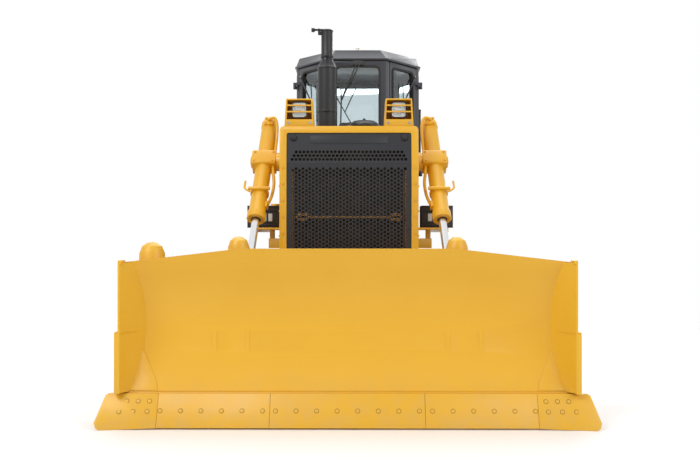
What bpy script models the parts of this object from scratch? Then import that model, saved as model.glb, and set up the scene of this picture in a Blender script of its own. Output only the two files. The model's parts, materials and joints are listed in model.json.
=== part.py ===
"""A crawler dozer with a straight tilt blade, at full size.

Metres, +Z up, the ground at Z = 0. The blade is at the front, towards -Y, so that the driver's
left is +X. Each named object is one piece of the machine. Depths called "d" are measured back
from the blade's foremost point.
"""

import math

import bmesh
import bpy
from mathutils import Matrix, Vector

# ---------------------------------------------------------------- driving dimensions
FRONT_Y = -2.73            # foremost point, on the flared end bits
REAR_Y = 2.73              # rear face of the drawbar
GAP = 0.0003               # between faces that touch
PIN_SIDES = 32             # of a pin and the bore it turns in
RUN_GAP = 0.006            # between a moving panel and its frame

# Crawler track
GAUGE = 2.00               # between the tracks' centre lines
SHOE_WIDTH = 0.56
SHOE_PITCH = 0.216
WHEELBASE = 2.73           # idler to sprocket
SPROCKET_Y = 2.01
SPROCKET_TEETH = 27        # two teeth for each shoe
IDLER_PITCH_R = 0.41
GROUSER = 0.065            # height of a shoe's rib
PLATE = 0.016              # thickness of a shoe's plate
PIN_TO_PLATE = 0.070       # from the pin line out to the plate's ground face
PIN_TO_RAIL = 0.050        # from the pin line in to the rail's running face
RAIL_IN = 0.0475           # the link rails lie this far from the track's centre line
RAIL_OUT = 0.0925
TOOTH_HALF = 0.030
ROLLER_R = 0.105
CARRIER_R = 0.085
ROLLER_COUNT = 6
ROLLER_FIRST_Y = -0.27
ROLLER_STEP = 0.354
CARRIER_YS = (0.25, 1.15)

# Track frame
BEAM_HALF = 0.17
BEAM_Z = (0.42, 0.70)
BEAM_Y = (-0.30, 1.50)
SIDE_PLATE = 0.030
PIVOT_Y = 1.38
PIVOT_R = 0.065
PIVOT_Z = 0.56
AXLE_R = 0.050

# Push arms and blade linkage
TRUNNION_Y = 0.57
TRUNNION_Z = 0.56
TRUNNION_R = 0.070
SLEEVE_R = 0.095
ARM_EYE_R = 0.150
ARM_X = 1.42
ARM_HALF = 0.075
EYE_HALF = 0.090           # half the length of an arm's rear eye
BALL_D = 0.75
BALL_Z = 0.42
BALL_R = 0.075
STRUT_REAR = (1.42, -1.10, 0.80)      # ball of the tilt cylinder, and of the brace, on its arm
STRUT_FRONT = (1.50, -2.32, 1.12)     # their eyes at the blade
STRUT_BALL_R = 0.050
STRUT_R = 0.045
TILT_BARREL_R = 0.090
TILT_ROD_R = 0.040
TILT_BARREL_L = 0.86
LIFT_TOP = (0.781, -0.93, 2.10)       # trunnion of a lift cylinder
LIFT_EYE = (0.890, -1.98, 0.62)       # its rod's eye
LIFT_BARREL_R = 0.073
LIFT_ROD_R = 0.034
LIFT_ABOVE = 0.475         # barrel above its trunnion
LIFT_BELOW = 0.66          # barrel below its trunnion
LIFT_ROD_L = 1.545
LIFT_PIN_R = 0.045
EYE_R = 0.055
EYE_HALF_W = 0.030

# Blade
BLADE_HALF = 1.70
BLADE_FLAT_HALF = 0.80
BLADE_TOP = 1.33
BLADE_END_TOP = 1.225
BIT_HALF = 1.8625
EDGE_HALF = 1.41
EDGE_TOP = 0.25
EDGE_LOW = 0.013
EDGE_D = 0.0427
EDGE_THICK = 0.025
EDGE_LEAN = math.radians(25)
FACE_SAG = 0.18
FACE_TOP_D = 0.12
FACE_PLATE = 0.022
TOP_BEAM_Z = (1.07, 1.19)
RIB_D = 0.37
FORK_HALF = 0.110          # half the gap between the cheeks that hold a lift rod's eye
STRUT_FORK_HALF = 0.052
FLARE = 0.16               # how far an end bit's tip swings forward, for each metre out

# Front guard, hood and what stands on them
GUARD_HALF = 0.612
GUARD_WALL = 0.062
GUARD_Y = (-1.33, -0.80)
GUARD_Z = (0.62, 2.39)
GUARD_FACE = 0.09          # depth of the front frame
SIDE_WALL = 0.040
WINDOW_Z = (1.20, 2.33)
BEND_Z = 2.057
LEAN_BACK = 0.035
HOOD_HALF = 0.60
HOOD_TOP = 2.37
HOOD_REAR = -0.05
HOOD_WALL = 0.030
DOOR_SWING_X = 0.36        # the hood's rear corners are cut back from here,
DOOR_SWING_Y = -0.122      # to here, where the cab doors swing past
SIDE_DOOR_Y = (-0.72, -0.18)
SIDE_DOOR_Z = (1.35, 2.00)
LAMP_X = 0.44
LAMP_BASE = 0.261
LAMP_CROWN = 0.232
LAMP_Z = 2.633
STACK_X = -0.213
STACK_Y = -0.68
STACK_TOP = 3.355
MUFFLER_R = 0.088
PIPE_R = 0.055
CLEANER_X = 0.14
CLEANER_Y = -0.50
CLEANER_R = 0.15

# Hull
HULL_HALF = 0.36
HULL_Z = (0.62, 1.05)
HULL_Y = (-1.2397, 1.20)
CASE_HALF = 0.42
CASE_Z = (0.45, 1.15)
CASE_Y = (1.20, 2.35)

# Deck, tanks and boxes
DECK_Z = 1.50
DECK_THICK = 0.02
DECK_LIP = 0.045
DECK_BEAM_X = 0.84
DECK_X = (0.43, 1.00)
DECK_Y = (-0.02, 2.45)
BOX_X = (0.73, 1.05)
BOX_Y = (0.02, 0.32)
BOX_TOP = 1.726
LID = 0.026
TANK_HALF = 0.60
TANK_Y = (1.56, 2.50)
TANK_TOP = 2.30
OIL_X = (-0.985, -0.755)
OIL_Y = (0.80, 2.05)
OIL_TOP = 1.74

# Cab
CAB_X = 0.079
CAB_FRONT_Y = -0.03
CAB_WIDE_Y = (0.47, 0.98)
CAB_REAR_Y = 1.42
CAB_FRONT_HALF = 0.29
CAB_WIDE_HALF = 0.65
CAB_REAR_HALF = 0.44
CAB_WALL = 0.045
CAB_SILL = 1.88
CAB_EAVE = 3.20
CAB_ROOF = 3.31
GUTTER = 0.022             # height of the roof's gutter edge
ROOF_INSET = 0.025         # of the roof's flat top, from the walls
ROOF_FRONT_HALF = 0.225    # of the flat top's front edge
POST = 0.055               # of the front panel, beyond its corner
PANE_R = 0.045

# Derived places
PIN_Z = GROUSER + PIN_TO_PLATE
SPROCKET_R = SHOE_PITCH / (2 * math.sin(math.pi * 2 / SPROCKET_TEETH))
SPROCKET_Z = PIN_Z + SPROCKET_R
IDLER_Y = SPROCKET_Y - WHEELBASE
IDLER_Z = PIN_Z + IDLER_PITCH_R
BELT_SLOPE = math.atan2(SPROCKET_R - IDLER_PITCH_R, WHEELBASE)
BALL = (ARM_X, FRONT_Y + BALL_D, BALL_Z)
SIDES = (("left", 1), ("right", -1))

COLOURS = {
    "yellow": ((0.78, 0.45, 0.05), 0.45, 0.0),
    "black": ((0.03, 0.03, 0.035), 0.5, 0.0),
    "steel": ((0.32, 0.30, 0.28), 0.45, 0.8),
    "chrome": ((0.75, 0.75, 0.76), 0.15, 1.0),
    "iron": ((0.10, 0.09, 0.08), 0.7, 0.4),
    "cab": ((0.06, 0.06, 0.075), 0.4, 0.0),
    "vinyl": ((0.05, 0.05, 0.05), 0.6, 0.0),
}


# ---------------------------------------------------------------- making solids
def finished(bm):
    """A mesh from a closed bmesh, its faces pointing out."""
    bmesh.ops.recalc_face_normals(bm, faces=bm.faces)
    mesh = bpy.data.meshes.new("shape")
    bm.to_mesh(mesh)
    bm.free()
    return mesh


def prism(axis, outline, low, high):
    """A flat outline swept along an axis. Its pairs are (y, z), (x, z) or (x, y)."""
    place = {
        "X": lambda pair, height: (height, pair[0], pair[1]),
        "Y": lambda pair, height: (pair[0], height, pair[1]),
        "Z": lambda pair, height: (pair[0], pair[1], height),
    }[axis]
    bm = bmesh.new()
    near, far = ([bm.verts.new(place(pair, height)) for pair in outline] for height in (low, high))
    bm.faces.new(near)
    bm.faces.new(far)
    for i in range(len(outline)):
        j = (i + 1) % len(outline)
        bm.faces.new((near[i], near[j], far[j], far[i]))
    return finished(bm)


def box(x, y, z):
    """A block between two values on each axis."""
    x0, x1 = sorted(x)
    outline = ((x0, y[0]), (x1, y[0]), (x1, y[1]), (x0, y[1]))
    return prism("Z", outline, z[0], z[1])


def bore_radius(pin_radius):
    """The radius of a many-sided bore whose flats stay clear of a pin that turns in it."""
    return pin_radius / math.cos(math.pi / PIN_SIDES) + GAP


def turned(profile, centre, direction, segments=16, ring=False):
    """A profile of (radius, distance along) turned round a direction through a centre.

    A profile that isn't a ring starts and ends on the axis, or is closed flat there.
    """
    bm = bmesh.new()
    rows = []
    for radius, along in profile:
        if radius == 0:
            rows.append([bm.verts.new((0, 0, along))])
            continue
        angles = (2 * math.pi * k / segments for k in range(segments))
        rows.append([bm.verts.new((radius * math.cos(a), radius * math.sin(a), along)) for a in angles])
    pairs = list(zip(rows, rows[1:]))
    if ring:
        pairs.append((rows[-1], rows[0]))
    for lower, upper in pairs:
        for k in range(segments):
            n = (k + 1) % segments
            corners = [lower[k % len(lower)], lower[n % len(lower)], upper[n % len(upper)], upper[k % len(upper)]]
            bm.faces.new(list(dict.fromkeys(corners)))
    if not ring:
        for row in (rows[0], rows[-1]):
            if len(row) > 1:
                bm.faces.new(row)
    turn = Vector((0, 0, 1)).rotation_difference(Vector(direction)).to_matrix().to_4x4()
    bmesh.ops.transform(bm, matrix=Matrix.Translation(centre) @ turn, verts=bm.verts)
    return finished(bm)


def rod(start, end, radius, segments=12):
    """A plain round bar between two points."""
    run = Vector(end) - Vector(start)
    return turned(((radius, 0), (radius, run.length)), start, run, segments)


def ball(centre, radius, segments=12, rows=6):
    """A sphere."""
    steps = (math.pi * k / rows for k in range(rows + 1))
    profile = [(radius * math.sin(a), -radius * math.cos(a)) for a in steps]
    profile[0] = (0, -radius)
    profile[-1] = (0, radius)
    return turned(profile, centre, (0, 0, 1), segments)


def combined(base, tool, operation):
    """One mesh from two, by an exact Boolean."""
    keep = bpy.data.objects.new("keep", base)
    other = bpy.data.objects.new("tool", tool)
    for obj in (keep, other):
        bpy.context.scene.collection.objects.link(obj)
    step = keep.modifiers.new("step", "BOOLEAN")
    step.operation = operation
    step.solver = "EXACT"
    step.object = other
    result = bpy.data.meshes.new_from_object(keep.evaluated_get(bpy.context.evaluated_depsgraph_get()))
    for obj in (keep, other):
        bpy.data.objects.remove(obj)
    return result


def joined(*meshes):
    """Solids made one."""
    result = meshes[0]
    for mesh in meshes[1:]:
        result = combined(result, mesh, "UNION")
    return result


def cut(base, *tools):
    """A solid with others taken out of it."""
    for tool in tools:
        base = combined(base, tool, "DIFFERENCE")
    return base


def shared(base, tool):
    """What two solids have in common."""
    return combined(base, tool, "INTERSECT")


def moved(mesh, matrix):
    """A mesh with a matrix applied to it."""
    mesh.transform(matrix)
    return mesh


def rounded(x, z, radius, steps=3):
    """A rectangle's outline with round corners, anticlockwise."""
    corners = ((x[1], z[0], -90), (x[1], z[1], 0), (x[0], z[1], 90), (x[0], z[0], 180))
    points = []
    for cx, cz, first in corners:
        ox = cx - radius if cx == x[1] else cx + radius
        oz = cz - radius if cz == z[1] else cz + radius
        for k in range(steps + 1):
            a = math.radians(first + 90 * k / steps)
            points.append((ox + radius * math.cos(a), oz + radius * math.sin(a)))
    return points


def mirrored(point, side):
    """A place on the left, taken to the side wanted."""
    return (point[0] * side, point[1], point[2])


def material(name):
    """A plain finish, made once."""
    found = bpy.data.materials.get(name)
    if found:
        return found
    colour, roughness, metallic = COLOURS[name]
    made = bpy.data.materials.new(name)
    made.use_nodes = True
    shader = made.node_tree.nodes["Principled BSDF"]
    shader.inputs["Base Color"].default_value = (*colour, 1)
    shader.inputs["Roughness"].default_value = roughness
    shader.inputs["Metallic"].default_value = metallic
    return made


def piece(name, mesh, finish, pivot=(0, 0, 0)):
    """One named piece of the machine, with its origin on its joint."""
    mesh.transform(Matrix.Translation(-Vector(pivot)))
    mesh.name = name
    mesh.materials.clear()
    mesh.materials.append(material(finish))
    mesh.shade_smooth()
    mesh.set_sharp_from_angle(angle=math.radians(30))
    obj = bpy.data.objects.new(name, mesh)
    obj.location = pivot
    bpy.context.scene.collection.objects.link(obj)
    return obj


# ---------------------------------------------------------------- crawler track
def belt_arcs():
    """(centre, pin radius, first angle, last angle) of the sprocket's and the idler's wrap."""
    crest = math.pi / 2 + 2 * BELT_SLOPE
    return (
        ((SPROCKET_Y, SPROCKET_Z), SPROCKET_R, -math.pi / 2, crest),
        ((IDLER_Y, IDLER_Z), IDLER_PITCH_R, crest, 3 * math.pi / 2),
    )


def belt_outline(offset, steps):
    """The track's closed path, this far outside its pin line.

    The turns' corners lie just outside the true circle, so that a wheel fits inside.
    """
    points = []
    for (cy, cz), radius, first, last in belt_arcs():
        step = (last - first) / steps
        reach = (radius + offset) / math.cos(step / 2)
        points.append((cy + (radius + offset) * math.cos(first), cz + (radius + offset) * math.sin(first)))
        for k in range(steps):
            a = first + step * (k + 0.5)
            points.append((cy + reach * math.cos(a), cz + reach * math.sin(a)))
        points.append((cy + (radius + offset) * math.cos(last), cz + (radius + offset) * math.sin(last)))
    return points


def belt_stations():
    """(y, z, angle of the outward normal) at the middle of each shoe."""
    rear, front = belt_arcs()
    lengths = (rear[1] * (rear[3] - rear[2]), WHEELBASE, front[1] * (front[3] - front[2]), WHEELBASE)
    count = round(sum(lengths) / SHOE_PITCH)
    for k in range(count):
        s = sum(lengths) * (k + 0.5) / count
        for part, length in enumerate(lengths):
            if s <= length:
                break
            s -= length
        (cy, cz), radius, first, last = (rear, rear, front, front)[part]
        angle = first + s / radius if part in (0, 2) else last
        slide = s if part in (1, 3) else 0
        y = cy + radius * math.cos(angle) - slide * math.sin(angle)
        z = cz + radius * math.sin(angle) + slide * math.cos(angle)
        yield y, z, angle


def top_run_z(y, offset):
    """Height of the upper run at a place along the machine, this far outside its pin line."""
    (cy, cz), radius, crest, _ = belt_arcs()[1]
    ny, nz = math.cos(crest), math.sin(crest)
    return (ny * cy + nz * cz + radius + offset - ny * y) / nz


def ring_band(outer, inner, x0, x1):
    """A closed band between two outlines, as wide as x0 to x1."""
    return cut(prism("X", outer, x0, x1), prism("X", inner, x0 - 0.05, x1 + 0.05))


def make_track(side_name, side):
    """One endless track: shoes with their ribs, and the two rows of link rails inside them."""
    half = SHOE_PITCH * 0.48
    shoe = (                              # (along the belt, outside the pin line)
        (-half, PIN_TO_PLATE),
        (0.055, PIN_TO_PLATE),
        (0.064, PIN_TO_PLATE + GROUSER),
        (0.082, PIN_TO_PLATE + GROUSER),
        (0.091, PIN_TO_PLATE),
        (half, PIN_TO_PLATE),
    )
    outer = []
    for y, z, angle in belt_stations():
        n = (math.cos(angle), math.sin(angle))
        for along, out in shoe:
            outer.append((y + out * n[0] - along * n[1], z + out * n[1] + along * n[0]))
    x = side * GAUGE / 2
    band = ring_band(outer, belt_outline(PIN_TO_PLATE - PLATE, 10), x - SHOE_WIDTH / 2, x + SHOE_WIDTH / 2)
    rail_outer = belt_outline(PIN_TO_PLATE - PLATE / 2, 12)
    rail_inner = belt_outline(-PIN_TO_RAIL, 14)
    for near, far in ((RAIL_IN, RAIL_OUT), (-RAIL_OUT, -RAIL_IN)):
        band = joined(band, ring_band(rail_outer, rail_inner, x + near, x + far))
    piece(f"track_{side_name}", band, "steel")


def make_sprocket(side_name, side):
    """The toothed driving ring, round the final drive's hub."""
    x = side * GAUGE / 2
    root = SPROCKET_R - 0.045
    tip = SPROCKET_R + 0.012
    outline = []
    step = 2 * math.pi / SPROCKET_TEETH
    for k in range(SPROCKET_TEETH):
        for share, radius in ((-0.28, root), (-0.10, tip), (0.10, tip), (0.28, root)):
            a = step * (k + share)
            outline.append((SPROCKET_Y + radius * math.cos(a), SPROCKET_Z + radius * math.sin(a)))
    ring = prism("X", outline, x - TOOTH_HALF, x + TOOTH_HALF)
    bore = turned(((HUB_R + GAP, -0.2), (HUB_R + GAP, 0.2)), (x, SPROCKET_Y, SPROCKET_Z), (side, 0, 0), 24)
    piece(f"sprocket_{side_name}", cut(ring, bore), "steel")


HUB_R = 0.235
FLANGE_R = 0.300


def make_idler(side_name, side):
    """The front wheel, its flange between the link rails, and its axle."""
    radius = IDLER_PITCH_R - PIN_TO_RAIL - GAP
    flange = radius + 0.035
    profile = (
        (AXLE_R, -BEAM_HALF), (AXLE_R, -0.12), (0.11, -0.12), (0.14, -0.07), (radius - 0.05, -0.11),
        (radius, -0.11), (radius, -0.035), (flange, -0.028), (flange, 0.028), (radius, 0.035), (radius, 0.11),
        (radius - 0.05, 0.11), (0.14, 0.07), (0.11, 0.12), (AXLE_R, 0.12), (AXLE_R, BEAM_HALF),
    )
    wheel = turned(profile, (side * GAUGE / 2, IDLER_Y, IDLER_Z), (1, 0, 0), 20)
    piece(f"idler_{side_name}", wheel, "iron")


def make_track_frame(side_name, side):
    """The beam that carries the rollers, the idler and the push arm's trunnion."""
    x = side * GAUGE / 2
    beam = box((x - BEAM_HALF, x + BEAM_HALF), BEAM_Y, BEAM_Z)
    roller_end = ROLLER_FIRST_Y + (ROLLER_COUNT - 1) * ROLLER_STEP
    parts = []
    for way in (-1, 1):
        edge = x + way * BEAM_HALF
        inner = edge - way * SIDE_PLATE
        parts.append(box((edge, inner), (ROLLER_FIRST_Y - 0.08, roller_end + 0.08), (0.235, BEAM_Z[0] + 0.01)))
        outline = (
            (BEAM_Y[0] + 0.02, IDLER_Z - 0.10), (IDLER_Y - 0.09, IDLER_Z - 0.10),
            (IDLER_Y - 0.09, IDLER_Z + 0.10), (BEAM_Y[0] + 0.02, IDLER_Z + 0.10),
        )
        parts.append(prism("X", outline, edge, inner))
        for y in CARRIER_YS:
            top = top_run_z(y, -PIN_TO_RAIL - CARRIER_R)
            post = ((y - 0.07, BEAM_Z[1] - 0.01), (y + 0.07, BEAM_Z[1] - 0.01), (y + 0.035, top + 0.04), (y - 0.035, top + 0.04))
            parts.append(prism("X", post, edge, inner))
    for k in range(ROLLER_COUNT):
        y = ROLLER_FIRST_Y + k * ROLLER_STEP
        z = PIN_Z + PIN_TO_RAIL + ROLLER_R
        tread = ROLLER_R - GAP
        profile = (
            (0.035, -BEAM_HALF + 0.01), (0.035, -0.12), (tread, -0.12), (tread, 0.12),
            (0.035, 0.12), (0.035, BEAM_HALF - 0.01),
        )
        parts.append(turned(profile, (x, y, z), (1, 0, 0), 10))
    for y in CARRIER_YS:
        z = top_run_z(y, -PIN_TO_RAIL - CARRIER_R)
        tread = CARRIER_R - GAP
        profile = (
            (0.030, -BEAM_HALF + 0.01), (0.030, -0.11), (tread, -0.11), (tread, 0.11),
            (0.030, 0.11), (0.030, BEAM_HALF - 0.01),
        )
        parts.append(turned(profile, (x, y, z), (1, 0, 0), 12))
    pin_start = x + side * (BEAM_HALF - 0.02)
    pin_end = side * (ARM_X + EYE_HALF + 0.004)
    centre = (0, TRUNNION_Y, TRUNNION_Z)
    parts.append(rod((pin_start, *centre[1:]), (pin_end, *centre[1:]), TRUNNION_R, PIN_SIDES))
    parts.append(rod((pin_end - side * 0.001, *centre[1:]), (pin_end + side * 0.022, *centre[1:]), ARM_EYE_R - 0.03, 20))
    collar = side * (ARM_X - EYE_HALF - GAP)
    parts.append(rod((pin_start, *centre[1:]), (collar, *centre[1:]), SLEEVE_R, 20))
    frame = joined(beam, *parts)
    axle = rod((x - 0.3, IDLER_Y, IDLER_Z), (x + 0.3, IDLER_Y, IDLER_Z), AXLE_R + GAP, 20)
    pivot = rod((x - side * 0.3, PIVOT_Y, PIVOT_Z), (x - side * (BEAM_HALF - 0.10), PIVOT_Y, PIVOT_Z), PIVOT_R + GAP, 20)
    piece(f"track_frame_{side_name}", cut(frame, axle, pivot), "yellow")


# ---------------------------------------------------------------- hull and deck
def make_main_frame():
    """Hull, steering case, final drives, the rear pivot shaft and the front equaliser beam."""
    rails = box((-HULL_HALF, HULL_HALF), HULL_Y, HULL_Z)
    case = box((-CASE_HALF, CASE_HALF), (CASE_Y[0] - 0.01, CASE_Y[1]), CASE_Z)
    nose = TOOTH_HALF + GAP
    reach = GAUGE / 2 - CASE_HALF + 0.02
    parts = [case]
    for _, side in SIDES:
        centre = (side * GAUGE / 2, SPROCKET_Y, SPROCKET_Z)
        profile = (
            (0.20, -reach), (0.20, -0.26), (FLANGE_R - 0.05, -0.24), (FLANGE_R, -0.10), (FLANGE_R, -nose),
            (HUB_R, -nose), (HUB_R, 0.12), (0.20, 0.17), (0.09, 0.20), (0, 0.20),
        )
        parts.append(turned(profile, centre, (side, 0, 0), 24))
    shaft = GAUGE / 2 - BEAM_HALF + 0.08
    parts.append(rod((-shaft, PIVOT_Y, PIVOT_Z), (shaft, PIVOT_Y, PIVOT_Z), PIVOT_R, 20))
    beam_x = GAUGE / 2 + 0.08
    parts.append(box((-beam_x, beam_x), (-0.16, -0.02), (BEAM_Z[1] + GAP, BEAM_Z[1] + 0.10)))
    piece("main_frame", joined(rails, *parts), "yellow")


def make_drawbar():
    """The rear plate and the clevis that tows."""
    back = CASE_Y[1] + GAP
    plate = box((-0.25, 0.25), (back, back + 0.05), (0.48, 0.84))
    tongue = box((-0.11, 0.11), (back, REAR_Y), (0.52, 0.72))
    slot = box((-0.2, 0.2), (REAR_Y - 0.17, REAR_Y + 0.1), (0.585, 0.655))
    hole = rod((0, REAR_Y - 0.09, 0.4), (0, REAR_Y - 0.09, 0.9), 0.030, 20)
    piece("drawbar", cut(joined(plate, tongue), slot, hole), "yellow")


def make_power_unit():
    """The engine as one plain block, and the radiator in front of it."""
    floor = HULL_Z[1] + GAP
    piece("engine_block", box((-0.30, 0.30), (-0.98, -0.12), (floor, 1.92)), "iron")
    piece("radiator", box((-0.50, 0.50), (-1.21, -1.10), (floor, 2.20)), "black")


def make_guard():
    """The heavy frame round the radiator, with the lift cylinders' bosses on its sides."""
    y0, y1 = GUARD_Y
    shell = prism("Y", rounded((-GUARD_HALF, GUARD_HALF), GUARD_Z, 0.035), y0 - 0.01, y1)
    side_view = (
        (y0, GUARD_Z[0] - 0.01), (y0, BEND_Z), (y0 + LEAN_BACK, GUARD_Z[1] + 0.01),
        (y1, GUARD_Z[1] + 0.01), (y1, GUARD_Z[0] - 0.01),
    )
    shell = shared(shell, prism("X", side_view, -1, 1))
    half = GUARD_HALF - GUARD_WALL
    window = prism("Y", rounded((-half, half), WINDOW_Z, 0.02), y0 - 0.1, y0 + GUARD_FACE + 0.01)
    inner = GUARD_HALF - SIDE_WALL
    hollow = box((-inner, inner), (y0 + GUARD_FACE, y1 + 0.1), (GUARD_Z[0] - 0.1, GUARD_Z[1] - 0.04))
    guard = cut(shell, window, hollow)
    tx, ty, tz = LIFT_TOP
    for _, side in SIDES:
        guard = joined(guard, rod((side * (inner + 0.01), ty, tz), (side * (tx - COLLAR_HALF - GAP), ty, tz), 0.085, 16))
    for _, side in SIDES:
        guard = cut(guard, rod((side * (inner - 0.1), ty, tz), (side * tx, ty, tz), bore_radius(LIFT_PIN_R), PIN_SIDES))
    piece("radiator_guard", guard, "yellow")


COLLAR_HALF = 0.108
SHEET = 0.010
SHEET_BACK = 0.012         # of the front sheet, behind the guard's face


def make_front_sheet():
    """The pierced black sheet in the guard's window, bent back at its upper part."""
    half = GUARD_HALF - GUARD_WALL - GAP
    low, high = WINDOW_Z[0] + GAP, WINDOW_Z[1] - GAP
    lean = LEAN_BACK * (high - BEND_Z) / (GUARD_Z[1] - BEND_Z)
    y = GUARD_Y[0] + SHEET_BACK
    side_view = (
        (y, low), (y, BEND_Z), (y + lean, high), (y + lean + SHEET, high), (y + SHEET, BEND_Z), (y + SHEET, low),
    )
    outline = prism("Y", rounded((-half, half), (low, high), 0.02), y - 0.1, y + 0.2)
    piece("front_sheet", shared(outline, prism("X", side_view, -1, 1)), "black")


def make_hood():
    """The engine's hood, open below, with a doorway on each side."""
    y0 = GUARD_Y[1] + GAP
    inner = HOOD_HALF - HOOD_WALL
    floor = HULL_Z[1] + 0.02
    shell = prism("Y", rounded((-HOOD_HALF, HOOD_HALF), (floor - 0.2, HOOD_TOP), 0.05), y0, HOOD_REAR)
    trench = box((-inner, inner), (y0 - 0.1, HOOD_REAR + 0.1), (floor - 0.5, HOOD_TOP - HOOD_WALL))
    foot = box((-1, 1), (y0 - 0.1, HOOD_REAR + 0.1), (floor - 0.5, floor))
    doorway = box((-1, 1), SIDE_DOOR_Y, SIDE_DOOR_Z)
    notches = [
        box(sorted((side * DOOR_SWING_X, side)), (DOOR_SWING_Y, HOOD_REAR + 0.1), (CAB_SILL - 0.005, HOOD_TOP + 0.1))
        for _, side in SIDES
    ]
    hood = cut(shell, trench, foot, doorway, *notches)
    for _, side in SIDES:
        for z in SIDE_HINGES:
            hood = joined(hood, *fixed_hinge(side * SIDE_HINGE_X, SIDE_HINGE_Y, z, side * (HOOD_HALF - 0.01), 0.05))
    piece("hood", hood, "yellow")


# Hinges with an upright pin: (fixed knuckle and pin, then the knuckle that turns above it)
KNUCKLE_R = 0.018
KNUCKLE_PIN_R = 0.009
KNUCKLE = 0.035
SIDE_HINGE_X = HOOD_HALF + KNUCKLE_R + 0.004
SIDE_HINGE_Y = SIDE_DOOR_Y[1] + 0.004
SIDE_HINGES = (1.45, 1.80)


def fixed_hinge(x, y, z, leaf_x, leaf_y):
    """The lower knuckle with its pin, and the leaf that holds it to a fixed panel."""
    pin = turned(
        ((KNUCKLE_R, 0), (KNUCKLE_R, KNUCKLE), (KNUCKLE_PIN_R, KNUCKLE), (KNUCKLE_PIN_R, 2 * KNUCKLE - 0.002)),
        (x, y, z), (0, 0, 1), 10,
    )
    leaf = box((x, leaf_x), (y, y + leaf_y), (z + 0.002, z + KNUCKLE - 0.002))
    return pin, leaf


def turning_knuckle(x, y, z):
    """The bored knuckle that sits on a fixed one."""
    base = z + KNUCKLE + GAP
    hole = KNUCKLE_PIN_R / math.cos(math.pi / 10) + GAP
    ring = ((hole, 0), (KNUCKLE_R, 0), (KNUCKLE_R, KNUCKLE), (hole, KNUCKLE))
    return turned(ring, (x, y, base), (0, 0, 1), 10, ring=True)


def make_side_door(side_name, side):
    """A louvred door at the engine's side, hinged at its rear edge."""
    y = (SIDE_DOOR_Y[0] + RUN_GAP, SIDE_DOOR_Y[1] - RUN_GAP)
    z = (SIDE_DOOR_Z[0] + RUN_GAP, SIDE_DOOR_Z[1] - RUN_GAP)
    door = box((side * (HOOD_HALF - HOOD_WALL), side * HOOD_HALF), y, z)
    hx, hy = side * SIDE_HINGE_X, SIDE_HINGE_Y
    for foot in SIDE_HINGES:
        base = foot + KNUCKLE + GAP
        leaf = box((side * (HOOD_HALF - 0.005), side * (HOOD_HALF + KNUCKLE_R)), (y[1] - 0.08, hy - KNUCKLE_R + 0.005), (base + 0.002, base + KNUCKLE - 0.002))
        door = joined(door, leaf, turning_knuckle(hx, hy, foot))
    handle = box((side * (HOOD_HALF - 0.005), side * (HOOD_HALF + 0.03)), (y[0] + 0.05, y[0] + 0.08), (1.62, 1.74))
    piece(f"engine_door_{side_name}", joined(door, handle), "yellow", (hx, hy, 0))


def make_lamp_box(side_name, side):
    """A headlamp's guard box on the radiator guard's top, open at the front."""
    z0 = GUARD_Z[1] + GAP
    x = side * LAMP_X
    y0 = GUARD_Y[0] + LEAN_BACK + 0.005
    y1 = y0 + 0.20
    front = (
        (x - LAMP_BASE / 2, z0), (x + LAMP_BASE / 2, z0), (x + LAMP_CROWN / 2, LAMP_Z), (x - LAMP_CROWN / 2, LAMP_Z),
    )
    body = prism("Y", front, y0, y1)
    wall = 0.012
    inside = (
        (x - LAMP_BASE / 2 + 0.018, z0 + 0.06), (x + LAMP_BASE / 2 - 0.018, z0 + 0.06),
        (x + LAMP_CROWN / 2 - wall, LAMP_Z - wall), (x - LAMP_CROWN / 2 + wall, LAMP_Z - wall),
    )
    body = cut(body, prism("Y", inside, y0 - 0.1, y1 - 0.02))
    lamp_z = (z0 + LAMP_Z) / 2 + 0.025
    rear = y1 - 0.03
    lamp = prism("Y", rounded((x - 0.064, x + 0.064), (lamp_z - 0.067, lamp_z + 0.067), 0.02), y0 + 0.035, rear + 0.02)
    piece(f"headlamp_{side_name}", joined(body, lamp), "yellow")


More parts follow.
